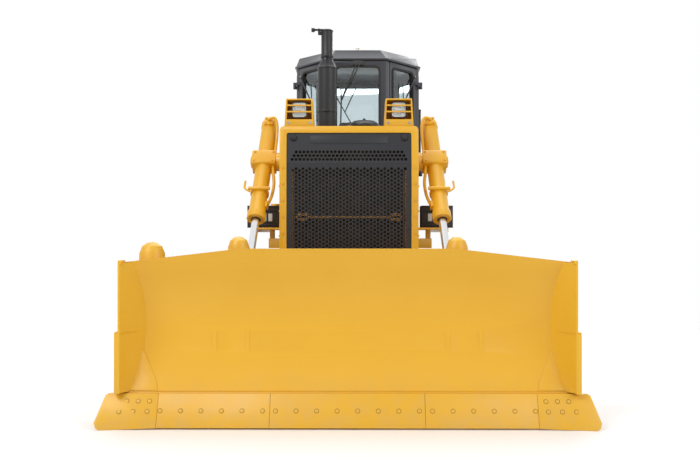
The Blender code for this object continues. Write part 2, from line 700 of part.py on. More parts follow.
def make_stack():
    """The muffler and its outlet pipe, standing on the hood."""
    base = HOOD_TOP + GAP
    bore = PIPE_R - 0.006
    profile = (
        (MUFFLER_R + 0.02, base), (MUFFLER_R + 0.02, base + 0.02), (MUFFLER_R, base + 0.02), (MUFFLER_R, 3.02),
        (PIPE_R + 0.01, 3.08), (PIPE_R, 3.09), (PIPE_R, STACK_TOP), (bore, STACK_TOP), (bore, 3.15), (0, 3.15),
    )
    stack = turned(profile, (STACK_X, STACK_Y, 0), (0, 0, 1), 20)
    hx = STACK_X - CAP_PIVOT
    for way in (-1, 1):
        y = STACK_Y + way * 0.022
        ear = (
            (hx - 0.012, STACK_TOP - 0.03), (STACK_X - PIPE_R + 0.004, STACK_TOP - 0.03),
            (STACK_X - PIPE_R + 0.004, STACK_TOP - 0.008), (hx + 0.008, STACK_TOP - 0.004),
            (hx + 0.008, CAP_Z + 0.010), (hx - 0.012, CAP_Z + 0.010),
        )
        stack = joined(stack, prism("Y", ear, y - 0.004, y + 0.004))
    pin = rod((hx, STACK_Y - 0.024, CAP_Z), (hx, STACK_Y + 0.024, CAP_Z), 0.005, 12)
    piece("exhaust_stack", joined(stack, pin), "iron")
    cap = rod((STACK_X, STACK_Y, STACK_TOP + GAP), (STACK_X, STACK_Y, STACK_TOP + 0.008), PIPE_R + 0.004, 20)
    dome = turned(((PIPE_R - 0.005, STACK_TOP + 0.007), (0.03, STACK_TOP + 0.018), (0, STACK_TOP + 0.02)), (STACK_X, STACK_Y, 0), (0, 0, 1), 20)
    arm = box((hx - 0.055, STACK_X - 0.02), (STACK_Y - 0.008, STACK_Y + 0.008), (STACK_TOP + 0.006, STACK_TOP + 0.018))
    knuckle = rod((hx, STACK_Y - 0.012, CAP_Z), (hx, STACK_Y + 0.012, CAP_Z), 0.012, 16)
    weight = box((hx - 0.075, hx - 0.045), (STACK_Y - 0.012, STACK_Y + 0.012), (STACK_TOP - 0.004, STACK_TOP + 0.030))
    hole = rod((hx, STACK_Y - 0.05, CAP_Z), (hx, STACK_Y + 0.05, CAP_Z), 0.005 + GAP, 12)
    piece("rain_cap", cut(joined(cap, dome, arm, knuckle, weight), hole), "iron", (hx, STACK_Y, CAP_Z))


CAP_PIVOT = PIPE_R + 0.018
CAP_Z = STACK_TOP + 0.012


def make_air_cleaner():
    """The air intake's bowl on the hood."""
    base = HOOD_TOP + GAP
    profile = (
        (0.075, base), (0.070, base + 0.06), (CLEANER_R - 0.015, base + 0.075), (CLEANER_R, base + 0.10),
        (CLEANER_R - 0.004, base + 0.125), (CLEANER_R - 0.05, base + 0.155), (0, base + 0.17),
    )
    piece("air_cleaner", turned(profile, (CLEANER_X, CLEANER_Y, 0), (0, 0, 1), 24), "black")


def make_deck(side_name, side):
    """The deck over a track, its web beside the hull and the bracket under it."""
    x0, x1 = (side * value for value in DECK_X)
    plate = box((x0, x1), DECK_Y, (DECK_Z - DECK_THICK, DECK_Z))
    lip = box((x1 - side * 0.02, x1), DECK_Y, (DECK_Z - DECK_LIP, DECK_Z))
    web = box((side * (CASE_HALF + GAP), side * (CASE_HALF + 0.03)), (0.10, 2.30), (0.95, DECK_Z - 0.005))
    beam = box((side * (CASE_HALF + 0.02), side * DECK_BEAM_X), (0.10, 0.20), (1.29, 1.39))
    posts = [box((side * x, side * (x + 0.05)), (0.12, 0.18), (1.38, DECK_Z - 0.01)) for x in (0.60, DECK_BEAM_X - 0.06)]
    piece(f"deck_{side_name}", joined(plate, lip, web, beam, *posts), "yellow")


def make_deck_box(side_name, side):
    """A black box on the deck ahead of the cab, with its hinged lid."""
    x = tuple(side * value for value in BOX_X)
    split = BOX_TOP - LID
    floor = DECK_Z + GAP
    wall = 0.02
    body = box(x, BOX_Y, (floor, split))
    inside = box(
        (x[0] + side * wall, x[1] - side * wall), (BOX_Y[0] + wall, BOX_Y[1] - wall), (floor + wall, split + 0.1)
    )
    body = cut(body, inside)
    lid = box(x, BOX_Y, (split + GAP, BOX_TOP))
    hy, hz = BOX_Y[1] + 0.012, split - 0.002
    for share in (0.2, 0.8):
        hx = x[0] + (x[1] - x[0]) * share
        ear = box((hx - 0.02, hx + 0.02), (BOX_Y[1] - 0.005, hy), (hz - 0.03, hz - 0.004))
        pin = rod((hx - 0.02, hy, hz), (hx + 0.06, hy, hz), 0.005, 8)
        body = joined(body, ear, rod((hx - 0.02, hy, hz), (hx + 0.02, hy, hz), 0.010, 8), pin)
        strap = box((hx + 0.022, hx + 0.055), (BOX_Y[1] - 0.01, hy + 0.008), (split + 0.002, split + 0.010))
        curl = rod((hx + 0.022, hy, hz), (hx + 0.055, hy, hz), 0.010, 8)
        lid = joined(lid, strap, curl)
        lid = cut(lid, rod((hx + 0.015, hy, hz), (hx + 0.07, hy, hz), 0.005 / math.cos(math.pi / 8) + GAP, 8))
    piece(f"deck_box_{side_name}", body, "black")
    piece(f"deck_box_lid_{side_name}", lid, "black", (0, hy, hz))


def make_tanks():
    """The fuel tank behind the cab and the oil tank on the right deck."""
    floor = DECK_Z + GAP
    outline = rounded((-TANK_HALF, TANK_HALF), (floor, TANK_TOP), 0.08)
    tank = prism("Y", outline, *TANK_Y)
    neck = rod((-0.35, 1.80, TANK_TOP - 0.01), (-0.35, 1.80, TANK_TOP + 0.07), 0.055, 20)
    cap = rod((-0.35, 1.80, TANK_TOP + 0.06), (-0.35, 1.80, TANK_TOP + 0.10), 0.070, 20)
    piece("fuel_tank", joined(tank, neck, cap), "yellow")
    oil = prism("Y", rounded(OIL_X, (floor, OIL_TOP), 0.04), *OIL_Y)
    filler = rod((-0.87, 1.20, OIL_TOP - 0.01), (-0.87, 1.20, OIL_TOP + 0.04), 0.05, 20)
    piece("oil_tank", joined(oil, filler), "yellow")


# ---------------------------------------------------------------- cab
def cab_corners(inset=0.0):
    """The cab's plan, anticlockwise from the front right corner, moved in by an inset."""
    points = (
        (-CAB_FRONT_HALF, CAB_FRONT_Y), (CAB_FRONT_HALF, CAB_FRONT_Y), (CAB_WIDE_HALF, CAB_WIDE_Y[0]),
        (CAB_WIDE_HALF, CAB_WIDE_Y[1]), (CAB_REAR_HALF, CAB_REAR_Y), (-CAB_REAR_HALF, CAB_REAR_Y),
        (-CAB_WIDE_HALF, CAB_WIDE_Y[1]), (-CAB_WIDE_HALF, CAB_WIDE_Y[0]),
    )
    corners = []
    for k, point in enumerate(points):
        here = Vector(point)
        before = (here - Vector(points[k - 1])).normalized()
        after = (Vector(points[(k + 1) % len(points)]) - here).normalized()
        inward = Vector((-before.y - after.y, before.x + after.x)).normalized()
        stretch = inset / inward.dot(Vector((-before.y, before.x)))
        corners.append((CAB_X + here.x + inward.x * stretch, here.y + inward.y * stretch))
    return corners


def along(start, end, distance):
    """A point this far from start towards end, in plan."""
    run = (Vector(end) - Vector(start)).normalized()
    return tuple(Vector(start) + run * distance)


def pane_cutter(start, end, x, z):
    """A round-cornered cutter through the wall that runs from start to end in plan."""
    run = Vector(end) - Vector(start)
    turn = Matrix.Rotation(math.atan2(run.y, run.x), 4, "Z")
    shape = prism("Y", rounded(x, z, PANE_R), -0.12, 0.12)
    return moved(shape, Matrix.Translation((start[0], start[1], 0)) @ turn)


def wall(plan_outer, plan_inner, z):
    """An upright wall between an outer and an inner line in plan."""
    return prism("Z", list(plan_outer) + list(reversed(plan_inner)), *z)


def door_span(inset):
    """The two edges of the left door opening, in plan, at an inset."""
    corners = cab_corners(inset)
    front, rear = corners[1], corners[2]
    return along(front, rear, POST), along(rear, front, POST)


def make_cab_base():
    """The floor with its sill walls."""
    sill = prism("Z", cab_corners(), DECK_Z + GAP, CAB_SILL)
    room = prism("Z", cab_corners(CAB_WALL), DECK_Z + 0.05, CAB_SILL + 0.1)
    piece("cab_base", cut(sill, room), "cab")


def make_cab_front():
    """The narrow front panel with the windscreen's opening and the two front posts."""
    outer, inner = cab_corners(), cab_corners(CAB_WALL)
    left_out, left_in = door_span(0)[0], door_span(CAB_WALL)[0]
    flip = lambda point: (2 * CAB_X - point[0], point[1])
    plan_outer = (flip(left_out), outer[0], outer[1], left_out)
    plan_inner = (flip(left_in), inner[0], inner[1], left_in)
    panel = wall(plan_outer, plan_inner, (CAB_SILL + GAP, CAB_EAVE))
    half = CAB_FRONT_HALF - 0.07
    mid = CAB_FRONT_HALF
    window = pane_cutter(outer[0], outer[1], (mid - half, mid + half), (CAB_SILL + 0.12, CAB_EAVE - 0.06))
    piece("cab_front", cut(panel, window), "cab")


def make_cab_rear():
    """The side and rear walls with their windows, and the fixed parts of the doors' hinges."""
    outer, inner = cab_corners(), cab_corners(CAB_WALL)
    left_out, left_in = door_span(0)[1], door_span(CAB_WALL)[1]
    flip = lambda point: (2 * CAB_X - point[0], point[1])
    plan_outer = (left_out, *outer[2:8], flip(left_out))
    plan_inner = (left_in, *inner[2:8], flip(left_in))
    shell = wall(plan_outer, plan_inner, (CAB_SILL + GAP, CAB_EAVE))
    z = (CAB_SILL + 0.14, CAB_EAVE - 0.06)
    tools = []
    for k in range(2, 7):
        start, end = outer[k], outer[k + 1]
        length = (Vector(end) - Vector(start)).length
        tools.append(pane_cutter(start, end, (0.075, length - 0.075), z))
    shell = cut(shell, *tools)
    for _, side in SIDES:
        x, y = cab_hinge(side)
        for foot in CAB_HINGES:
            knuckle, _ = fixed_hinge(x, y, foot, x, 0.01)
            leaf = box((x, CAB_X + side * (CAB_WIDE_HALF - 0.02)), (y, y + 0.035), (foot + 0.002, foot + KNUCKLE - 0.002))
            shell = joined(shell, knuckle, leaf)
    piece("cab_rear", shell, "cab")


CAB_HINGES = (2.05, 2.98)


def cab_hinge(side):
    """A cab door's hinge line, in plan, just outside the cab's widest corner."""
    return CAB_X + side * (CAB_WIDE_HALF + KNUCKLE_R + 0.004), CAB_WIDE_Y[0] - 0.010


def make_cab_door(side_name, side):
    """A door with its window, hinged outside the cab's widest corner."""
    mirror = lambda point: (CAB_X + side * (point[0] - CAB_X), point[1])
    outer = [along(*door_span(0), RUN_GAP), along(*reversed(door_span(0)), RUN_GAP)]
    inner = [along(*door_span(CAB_WALL), RUN_GAP), along(*reversed(door_span(CAB_WALL)), RUN_GAP)]
    outer, inner = [mirror(p) for p in outer], [mirror(p) for p in inner]
    z = (CAB_SILL + RUN_GAP, CAB_EAVE - RUN_GAP)
    door = wall(outer, inner, z)
    length = (Vector(outer[1]) - Vector(outer[0])).length
    door = cut(door, pane_cutter(outer[0], outer[1], (0.055, length - 0.055), (z[0] + 0.12, z[1] - 0.055)))
    x, y = cab_hinge(side)
    corner = Vector(mirror(cab_corners()[2]))
    back = (Vector(outer[0]) - corner).normalized()
    out = Vector((-back.y, back.x)) * side
    leaf_plan = ((0.100, -0.010), (0.066, -0.010), (0.064, 0.005), (0.008, 0.014), (0.008, 0.030), (0.090, 0.014))
    plan = [tuple(corner + back * s + out * h) for s, h in leaf_plan]   # (from the corner, outwards)
    for foot in CAB_HINGES:
        base = foot + KNUCKLE + GAP
        leaf = prism("Z", plan, base + 0.002, base + KNUCKLE - 0.002)
        door = joined(door, leaf, turning_knuckle(x, y, foot))
    piece(f"cab_door_{side_name}", door, "cab", (x, y, 0))


def make_cab_roof():
    """The flat roof with its overhanging gutter edge."""
    brim = prism("Z", cab_corners(-0.02), CAB_EAVE + GAP, CAB_EAVE + GUTTER)
    lower, upper = cab_corners(-0.010), cab_corners(ROOF_INSET)
    for corner, way in ((0, -1), (1, 1)):
        upper[corner] = (CAB_X + way * ROOF_FRONT_HALF, upper[corner][1])
    bm = bmesh.new()
    foot = [bm.verts.new((*point, CAB_EAVE + GUTTER - 0.005)) for point in lower]
    top = [bm.verts.new((*point, CAB_ROOF)) for point in upper]
    for k in range(len(foot)):
        following = (k + 1) % len(foot)
        bm.faces.new((foot[k], foot[following], top[following], top[k]))
    bm.faces.new(foot)
    bm.faces.new(top)
    crown = finished(bm)
    piece("cab_roof", joined(brim, crown), "cab")


def make_interior():
    """Seat, consoles with their levers and the dashboard."""
    floor = DECK_Z + 0.05 + GAP
    x = CAB_X
    parts = [box((x - 0.20, x + 0.20), (0.70, 1.10), (floor, 1.93))]
    for side in (-1, 1):
        near, far = x + side * 0.19, x + side * 0.44
        parts.append(box((near, far), (0.76, 1.06), (floor, 1.62)))
        parts.append(box((x + side * 0.31, far), (0.60, 1.08), (1.58, 2.14)))
        parts.append(rod((x + side * 0.375, 0.68, 2.12), (x + side * 0.375, 0.65, 2.30), 0.012, 12))
        parts.append(ball((x + side * 0.375, 0.648, 2.31), 0.026, 12, 6))
    piece("seat_frame", joined(*parts), "black")
    piece("seat_cushion", box((x - 0.25, x + 0.25), (0.62, 1.14), (1.93 + GAP, 2.06)), "vinyl")
    back_view = ((1.0, 2.06 + GAP), (1.12, 2.06 + GAP), (1.22, 2.74), (1.12, 2.74))
    piece("seat_back", prism("X", back_view, x - 0.23, x + 0.23), "vinyl")
    dash = prism("X", ((0.06, floor), (0.14, floor), (0.20, 2.20), (0.12, 2.34), (0.06, 2.34)), x - 0.19, x + 0.19)
    piece("dashboard", dash, "black")


# ---------------------------------------------------------------- blade linkage
def make_trunnion_sleeve(side_name, side):
    """The bearing sleeve that turns on the track frame's trunnion, inside the arm's eye."""
    inner, outer = bore_radius(TRUNNION_R), SLEEVE_R
    ring = ((inner, -EYE_HALF), (outer, -EYE_HALF), (outer, EYE_HALF), (inner, EYE_HALF))
    sleeve = turned(ring, (side * ARM_X, TRUNNION_Y, TRUNNION_Z), (1, 0, 0), PIN_SIDES, ring=True)
    piece(f"trunnion_sleeve_{side_name}", sleeve, "steel", (side * ARM_X, TRUNNION_Y, TRUNNION_Z))


def make_push_arm(side_name, side):
    """A box-section arm: an eye at the rear, a ball cup at the front, and the strut's cup on top."""
    x = side * ARM_X
    _, by, bz = BALL
    rear, front = by + 0.52, by + 0.12
    profile = (
        (TRUNNION_Y, TRUNNION_Z + 0.12), (rear, bz + 0.15), (front, bz + 0.12), (front, bz - 0.12),
        (rear, bz - 0.15), (TRUNNION_Y, TRUNNION_Z - 0.12),
    )
    arm = prism("X", profile, x - ARM_HALF, x + ARM_HALF)
    eye = rod((x - EYE_HALF + GAP, TRUNNION_Y, TRUNNION_Z), (x + EYE_HALF - GAP, TRUNNION_Y, TRUNNION_Z), ARM_EYE_R, 20)
    out, play = BALL_R + GAP, 0.025
    cup_x = (x - side * (BALL_R + play + 0.028), x + side * (out + 0.028))
    cup = box(cup_x, (by - BALL_R - 0.032, front + 0.02), (bz - 0.118, bz + 0.118))
    sx, sy, sz = mirrored(STRUT_REAR, side)
    grip = STRUT_BALL_R + GAP
    holder = box((sx - grip - 0.022, sx + grip + 0.022), (sy - 0.075, sy + 0.10), (bz + 0.10, sz + 0.075))
    arm = joined(arm, eye, cup, holder)
    bore = rod((x - 0.3, TRUNNION_Y, TRUNNION_Z), (x + 0.3, TRUNNION_Y, TRUNNION_Z), bore_radius(SLEEVE_R), PIN_SIDES)
    nest = box((x - side * (BALL_R + play), x + side * out), (by - BALL_R - 0.012, by + BALL_R + play), (bz - 0.09, bz + 0.09))
    mouth = box((x - 0.066, x + 0.066), (by - 0.2, by), (bz - 0.066, bz + 0.066))
    strut_nest = box((sx - grip, sx + grip), (sy - 0.2, sy + STRUT_BALL_R + 0.012), (sz - 0.062, sz + 0.2))
    piece(f"push_arm_{side_name}", cut(arm, bore, nest, mouth, strut_nest), "yellow", (x, TRUNNION_Y, TRUNNION_Z))


def face_arc():
    """The moldboard's face in (d, z), from its foot to its top: one arc."""
    foot = Vector((EDGE_D + EDGE_RISE_D + 0.012, EDGE_TOP))
    top = Vector((FACE_TOP_D, BLADE_TOP))
    half = (top - foot).length / 2
    radius = (half ** 2 + FACE_SAG ** 2) / (2 * FACE_SAG)
    middle = (foot + top) / 2
    ahead = Vector((-(top - foot).y, (top - foot).x)).normalized()
    centre = middle + ahead * (radius - FACE_SAG)
    first = math.atan2(foot.y - centre.y, foot.x - centre.x)
    last = math.atan2(top.y - centre.y, top.x - centre.x)
    return centre, radius, first, last


EDGE_RISE_D = (EDGE_TOP - EDGE_LOW) * math.tan(EDGE_LEAN)


def face_depth(z):
    """How far back the moldboard's face lies at a height."""
    centre, radius, _, _ = face_arc()
    return centre.x + math.sqrt(radius ** 2 - (z - centre.y) ** 2)


def at_depth(points):
    """Pairs of (d, z) as (y, z)."""
    return [(FRONT_Y + d, z) for d, z in points]


def make_moldboard():
    """The curved blade plate with its beams, ribs, corner plates, guards and lugs."""
    centre, radius, first, last = face_arc()
    steps = 10
    angles = [first + (last - first) * k / steps for k in range(steps + 1)]
    face = [(centre.x + radius * math.cos(a), centre.y + radius * math.sin(a)) for a in angles]
    back = [(d + FACE_PLATE, z) for d, z in reversed(face)]
    toe_z = EDGE_LOW + 0.07
    toe_d = EDGE_D + (toe_z - EDGE_LOW) * math.tan(EDGE_LEAN) + 0.012
    section = [(toe_d, toe_z), *face, *back, (toe_d + FACE_PLATE, toe_z)]
    plate = prism("X", at_depth(section), -BLADE_HALF, BLADE_HALF)
    inside = FACE_PLATE / 2
    low_beam = [(face_depth(0.27) + inside, 0.27), (0.44, 0.27), (0.44, 0.56), (face_depth(0.56) + inside, 0.56)]
    low, high = TOP_BEAM_Z
    top_beam = [(face_depth(low) + inside, low), (0.355, low), (0.355, high), (face_depth(high) + inside, high)]
    parts = [prism("X", at_depth(view), -BLADE_HALF + 0.01, BLADE_HALF - 0.01) for view in (low_beam, top_beam)]
    rib = [(RIB_D, 0.50), (RIB_D, 1.10)]
    rib += [(face_depth(z) + inside, z) for z in (1.10, 1.00, 0.90, 0.80, 0.65, 0.50)]
    for x in (-1.05, -0.35, 0.35, 1.05):
        parts.append(prism("X", at_depth(rib), x - 0.0125, x + 0.0125))
    for _, side in SIDES:
        parts += blade_side(side)
    blade = joined(plate, *parts)
    lugs = []
    for _, side in SIDES:
        lugs += blade_lugs(side)
        slope = (
            (side * BLADE_FLAT_HALF, BLADE_TOP), (side * (BLADE_HALF + 0.05), BLADE_END_TOP - 0.006),
            (side * (BLADE_HALF + 0.05), BLADE_TOP + 0.2), (side * BLADE_FLAT_HALF, BLADE_TOP + 0.2),
        )
        blade = cut(blade, prism("Y", slope, FRONT_Y - 0.1, FRONT_Y + 0.5))
    blade = joined(blade, *lugs)
    for x, z, r in ((0.834, 1.42, 0.089), (-0.834, 1.42, 0.089), (-1.50, 1.377, 0.105)):
        foot = TOP_BEAM_Z[1] - 0.01
        y = FRONT_Y + face_depth(foot) + inside + r
        dome = ((r, foot), (r * 0.94, z - 0.085), (r * 0.72, z - 0.03), (r * 0.35, z - 0.006), (0, z))
        blade = joined(blade, turned(dome, (x, y, 0), (0, 0, 1), 14))
    piece("moldboard", blade, "yellow", (0, BALL[1], BALL[2]))


def blade_side(side):
    """One end of the blade: its corner plates, and the ball that the arm holds."""
    end = side * BLADE_HALF
    front = EDGE_D + 0.03
    parts = [
        box((end, end - side * 0.012), (FRONT_Y + front, FRONT_Y + 0.44), (0.26, BLADE_END_TOP)),
        box((end - side * 0.01, end + side * 0.027), (FRONT_Y + front, FRONT_Y + 0.30), (0.255, 0.70)),
    ]
    lean = ((end, front), (end - side * 0.148, 0.33), (end - side * 0.160, 0.33), (end - side * 0.013, front))
    parts.append(prism("Z", [(x, FRONT_Y + d) for x, d in lean], 0.26, BLADE_END_TOP))
    bx, by, bz = mirrored(BALL, side)
    neck = ((0.085, -0.36), (0.085, -0.25), (0.036, -0.12), (0.036, -0.05))
    parts.append(turned(neck, (bx, by, bz), (0, 1, 0), 12))
    parts.append(ball((bx, by, bz), BALL_R))
    return parts


def blade_lugs(side):
    """The forks at the back of the blade that hold the lift rod and the strut."""
    parts = []
    ex, ey, ez = mirrored(LIFT_EYE, side)
    cheek = [(face_depth(0.46) + 0.01, 0.46), (0.75, 0.54), (0.82, 0.58), (0.82, 0.66), (0.75, 0.70), (face_depth(0.80) + 0.01, 0.80)]
    for way in (-1, 1):
        near = ex + way * FORK_HALF
        parts.append(prism("X", at_depth(cheek), near, near + way * 0.03))
        boss = rod((near + way * 0.001, ey, ez), (near + way * 0.045, ey, ez), EYE_R, 12)
        parts.append(boss)
    fx, fy, fz = mirrored(STRUT_FRONT, side)
    lug = [(0.345, 1.07), (0.40, 1.07), (0.46, 1.10), (0.46, 1.15), (0.43, 1.18), (0.345, 1.18)]
    for way in (-1, 1):
        near = fx + way * STRUT_FORK_HALF
        parts.append(prism("X", at_depth(lug), near, near + way * 0.025))
    return parts


def leaned(outline, thickness):
    """An outline in (x, z), leaned back like the cutting edge, with its foot on the ground."""
    slab = prism("Y", outline, 0, thickness)
    for vertex in slab.vertices:
        vertex.co.y += FRONT_Y + EDGE_D + (vertex.co.z - EDGE_LOW) * math.tan(EDGE_LEAN) - thickness + 0.012 - GAP
    return slab


def make_blade_edges():
    """The cutting edge along the blade's foot and the flared bits at its ends."""
    outline = ((-EDGE_HALF, EDGE_LOW), (EDGE_HALF, EDGE_LOW), (EDGE_HALF, EDGE_TOP), (-EDGE_HALF, EDGE_TOP))
    pivot = (0, BALL[1], BALL[2])
    piece("cutting_edge", leaned(outline, EDGE_THICK), "yellow", pivot)
    for side_name, side in SIDES:
        near = EDGE_HALF + GAP
        shape = (
            (near, EDGE_TOP), (near, EDGE_LOW), (1.62, 0.004), (1.70, 0.002), (1.82, 0.0), (1.850, 0.018),
            (BIT_HALF, 0.052), (1.80, 0.24), (1.78, EDGE_TOP), (1.70, EDGE_TOP),
        )
        slab = leaned([(side * x, z) for x, z in shape], EDGE_THICK + 0.004)
        for vertex in slab.vertices:
            beyond = abs(vertex.co.x) - 1.70
            if beyond > 0.001:
                vertex.co.y -= beyond * FLARE
        piece(f"end_bit_{side_name}", slab, "yellow", pivot)



def aimed(start, end):
    """(start vector, unit direction, length) between two points."""
    run = Vector(end) - Vector(start)
    return Vector(start), run.normalized(), run.length


def strut_eye(centre):
    """The eye of a strut at the blade, its hole lying across the machine."""
    r, half, hole = 0.045, 0.030, 0.020
    return turned(((hole, -half), (r, -half), (r, half), (hole, half)), centre, (1, 0, 0), 16, ring=True)


def make_brace():
    """The left brace: a screw strut between the arm and the blade."""
    start, way, length = aimed(STRUT_REAR, STRUT_FRONT)
    profile = (
        (0.028, 0.02), (0.028, 0.16), (0.036, 0.17), (STRUT_R, 0.18), (STRUT_R, length - 0.28),
        (0.036, length - 0.27), (0.028, length - 0.26), (0.028, length - 0.035),
    )
    body = joined(turned(profile, start, way), ball(start, STRUT_BALL_R), strut_eye(STRUT_FRONT))
    piece("brace_left", body, "yellow", STRUT_REAR)


def make_tilt_cylinder():
    """The tilt cylinder on the right: its barrel on the arm, its rod out to the blade."""
    rear, front = mirrored(STRUT_REAR, -1), mirrored(STRUT_FRONT, -1)
    start, way, length = aimed(rear, front)
    barrel = turned(((0.030, 0.02), (0.034, 0.14), (TILT_BARREL_R, 0.20), (TILT_BARREL_R, TILT_BARREL_L - 0.06),
                     (TILT_BARREL_R + 0.012, TILT_BARREL_L - 0.06), (TILT_BARREL_R + 0.012, TILT_BARREL_L)), start, way)
    barrel = joined(barrel, ball(start, STRUT_BALL_R))
    bore = turned(((TILT_ROD_R + GAP, 0.40), (TILT_ROD_R + GAP, length)), start, way)
    piece("tilt_barrel", cut(barrel, bore), "yellow", rear)
    bar = turned(((TILT_ROD_R, 0.55), (TILT_ROD_R, length - 0.035)), start, way)
    piece("tilt_rod", joined(bar, strut_eye(front)), "chrome", front)


def make_lift_cylinder(side_name, side):
    """A lift cylinder hung on the radiator guard's side, with its rod down to the blade."""
    top, eye = mirrored(LIFT_TOP, side), mirrored(LIFT_EYE, side)
    start, way, length = aimed(top, eye)
    r = LIFT_BARREL_R
    profile = (
        (r - 0.01, -LIFT_ABOVE), (r + 0.006, -LIFT_ABOVE + 0.01), (r + 0.006, -LIFT_ABOVE + 0.07), (r, -LIFT_ABOVE + 0.08),
        (r, LIFT_BELOW - 0.08), (r + 0.010, LIFT_BELOW - 0.075), (r + 0.010, LIFT_BELOW), (LIFT_ROD_R + 0.01, LIFT_BELOW),
    )
    barrel = turned(profile, start, way)
    x = top[0]
    run, rise = Vector((way.y, way.z)).normalized()
    block = ((-0.078, -0.088), (0.078, -0.088), (0.078, 0.088), (-0.078, 0.088))   # (along, across)
    view = [(top[1] + a * run - c * rise, top[2] + a * rise + c * run) for a, c in block]
    collar = prism("X", view, x - COLLAR_HALF, x + COLLAR_HALF)
    pin_end = x - side * (x * side - (GUARD_HALF - SIDE_WALL + 0.005))
    pin = rod((x - side * 0.05, top[1], top[2]), (pin_end, top[1], top[2]), LIFT_PIN_R, PIN_SIDES)
    barrel = joined(barrel, collar, pin)
    bore = turned(((LIFT_ROD_R + GAP, -LIFT_ABOVE + 0.02), (LIFT_ROD_R + GAP, length)), start, way)
    piece(f"lift_barrel_{side_name}", cut(barrel, bore), "yellow", top)
    bar = turned(((LIFT_ROD_R, length - LIFT_ROD_L), (LIFT_ROD_R, length - 0.04)), start, way)
    ring = turned(
        ((0.028, -EYE_HALF_W), (EYE_R, -EYE_HALF_W), (EYE_R, EYE_HALF_W), (0.028, EYE_HALF_W)),
        eye, (1, 0, 0), 16, ring=True,
    )
    piece(f"lift_rod_{side_name}", joined(bar, ring), "chrome", eye)


# ---------------------------------------------------------------- the machine
def clear_scene():
    """Removes what a new file holds."""
    for obj in list(bpy.data.objects):
        bpy.data.objects.remove(obj)


def main():
    """Makes every piece."""
    clear_scene()
    make_main_frame()
    make_drawbar()
    make_power_unit()
    make_guard()
    make_front_sheet()
    make_hood()
    make_stack()
    make_air_cleaner()
    make_tanks()
    make_cab_base()
    make_cab_front()
    make_cab_rear()
    make_cab_roof()
    make_interior()
    for side_name, side in SIDES:
        make_track(side_name, side)
        make_sprocket(side_name, side)
        make_idler(side_name, side)
        make_track_frame(side_name, side)
        make_deck(side_name, side)
        make_deck_box(side_name, side)
        make_side_door(side_name, side)
        make_lamp_box(side_name, side)
        make_cab_door(side_name, side)
        make_trunnion_sleeve(side_name, side)
        make_push_arm(side_name, side)
        make_lift_cylinder(side_name, side)
    make_moldboard()
    make_blade_edges()
    make_brace()
    make_tilt_cylinder()


main()
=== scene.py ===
# %% [markdown]
# # A crawler dozer
# The solid pieces of the machine come in as a fixed frame, in metres, with the blade towards -Y.
# Everything in this file is placed from that frame: finishes, glass, bolts, welds and fittings.

# %% Load the frame
import json
import math

import bmesh
import bpy
from mathutils import bvhtree, Matrix, Vector

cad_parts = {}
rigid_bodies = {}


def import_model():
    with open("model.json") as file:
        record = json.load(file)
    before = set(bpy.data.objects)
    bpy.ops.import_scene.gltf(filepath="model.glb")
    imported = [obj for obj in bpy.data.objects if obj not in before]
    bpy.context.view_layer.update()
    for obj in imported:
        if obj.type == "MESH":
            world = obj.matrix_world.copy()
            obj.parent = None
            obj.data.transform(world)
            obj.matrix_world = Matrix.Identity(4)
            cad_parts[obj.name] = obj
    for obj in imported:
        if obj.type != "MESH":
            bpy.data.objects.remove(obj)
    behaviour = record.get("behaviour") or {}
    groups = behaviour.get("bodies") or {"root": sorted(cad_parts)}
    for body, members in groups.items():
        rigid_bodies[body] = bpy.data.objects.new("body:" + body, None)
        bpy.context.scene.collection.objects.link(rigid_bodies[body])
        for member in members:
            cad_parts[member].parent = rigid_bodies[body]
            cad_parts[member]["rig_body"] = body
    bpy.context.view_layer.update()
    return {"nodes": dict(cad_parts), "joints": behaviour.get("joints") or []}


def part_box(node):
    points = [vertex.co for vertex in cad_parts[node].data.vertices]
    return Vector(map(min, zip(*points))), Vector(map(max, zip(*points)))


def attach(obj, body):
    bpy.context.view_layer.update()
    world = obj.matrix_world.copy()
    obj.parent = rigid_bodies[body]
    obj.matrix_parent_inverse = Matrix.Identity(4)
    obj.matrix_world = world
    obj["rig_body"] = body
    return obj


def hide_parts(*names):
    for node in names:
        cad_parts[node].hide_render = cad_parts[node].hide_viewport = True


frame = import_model()
SIDES = (("left", 1), ("right", -1))

# %% [markdown]
# ## Camera
# A machine like this is drawn from straight in front, at the height of a standing person's chest.
# The camera stays level, so upright edges stay upright, and turns a hair to the machine's right.

# %% Camera
CAMERA_PLACE = (0.070, -9.63, 1.446)
CAMERA_TURN = math.radians(0.42)
LENS = 48.6

camera = bpy.data.objects.new("camera", bpy.data.cameras.new("camera"))
camera.data.lens = LENS
camera.data.sensor_width = 36
camera.location = CAMERA_PLACE
camera.rotation_euler = (math.pi / 2, 0, CAMERA_TURN)
bpy.context.scene.collection.objects.link(camera)
bpy.context.scene.camera = camera
print("camera at", CAMERA_PLACE)

# %% [markdown]
# ## Shared shader groups
# Real paint and steel are never one flat colour. Three small effects are used again and again:
# a slow mottle, dust that settles towards the ground, and a fine grain for the bump. Each is a
# group with named sockets, so every finish can place it with its own values.

# %% Group helpers
def shader_group(name, inputs, outputs):
    """An empty shader group with its sockets: (label, kind, value) in and (label, kind) out."""
    group = bpy.data.node_groups.new(name, "ShaderNodeTree")
    for label, kind, value in inputs:
        socket = group.interface.new_socket(label, in_out="INPUT", socket_type=f"NodeSocket{kind}")
        socket.default_value = value
    for label, kind in outputs:
        group.interface.new_socket(label, in_out="OUTPUT", socket_type=f"NodeSocket{kind}")
    return group, group.nodes.new("NodeGroupInput"), group.nodes.new("NodeGroupOutput")


def wire(tree, *pairs):
    """Links (from socket, to socket) pairs."""
    for source, target in pairs:
        tree.links.new(source, target)


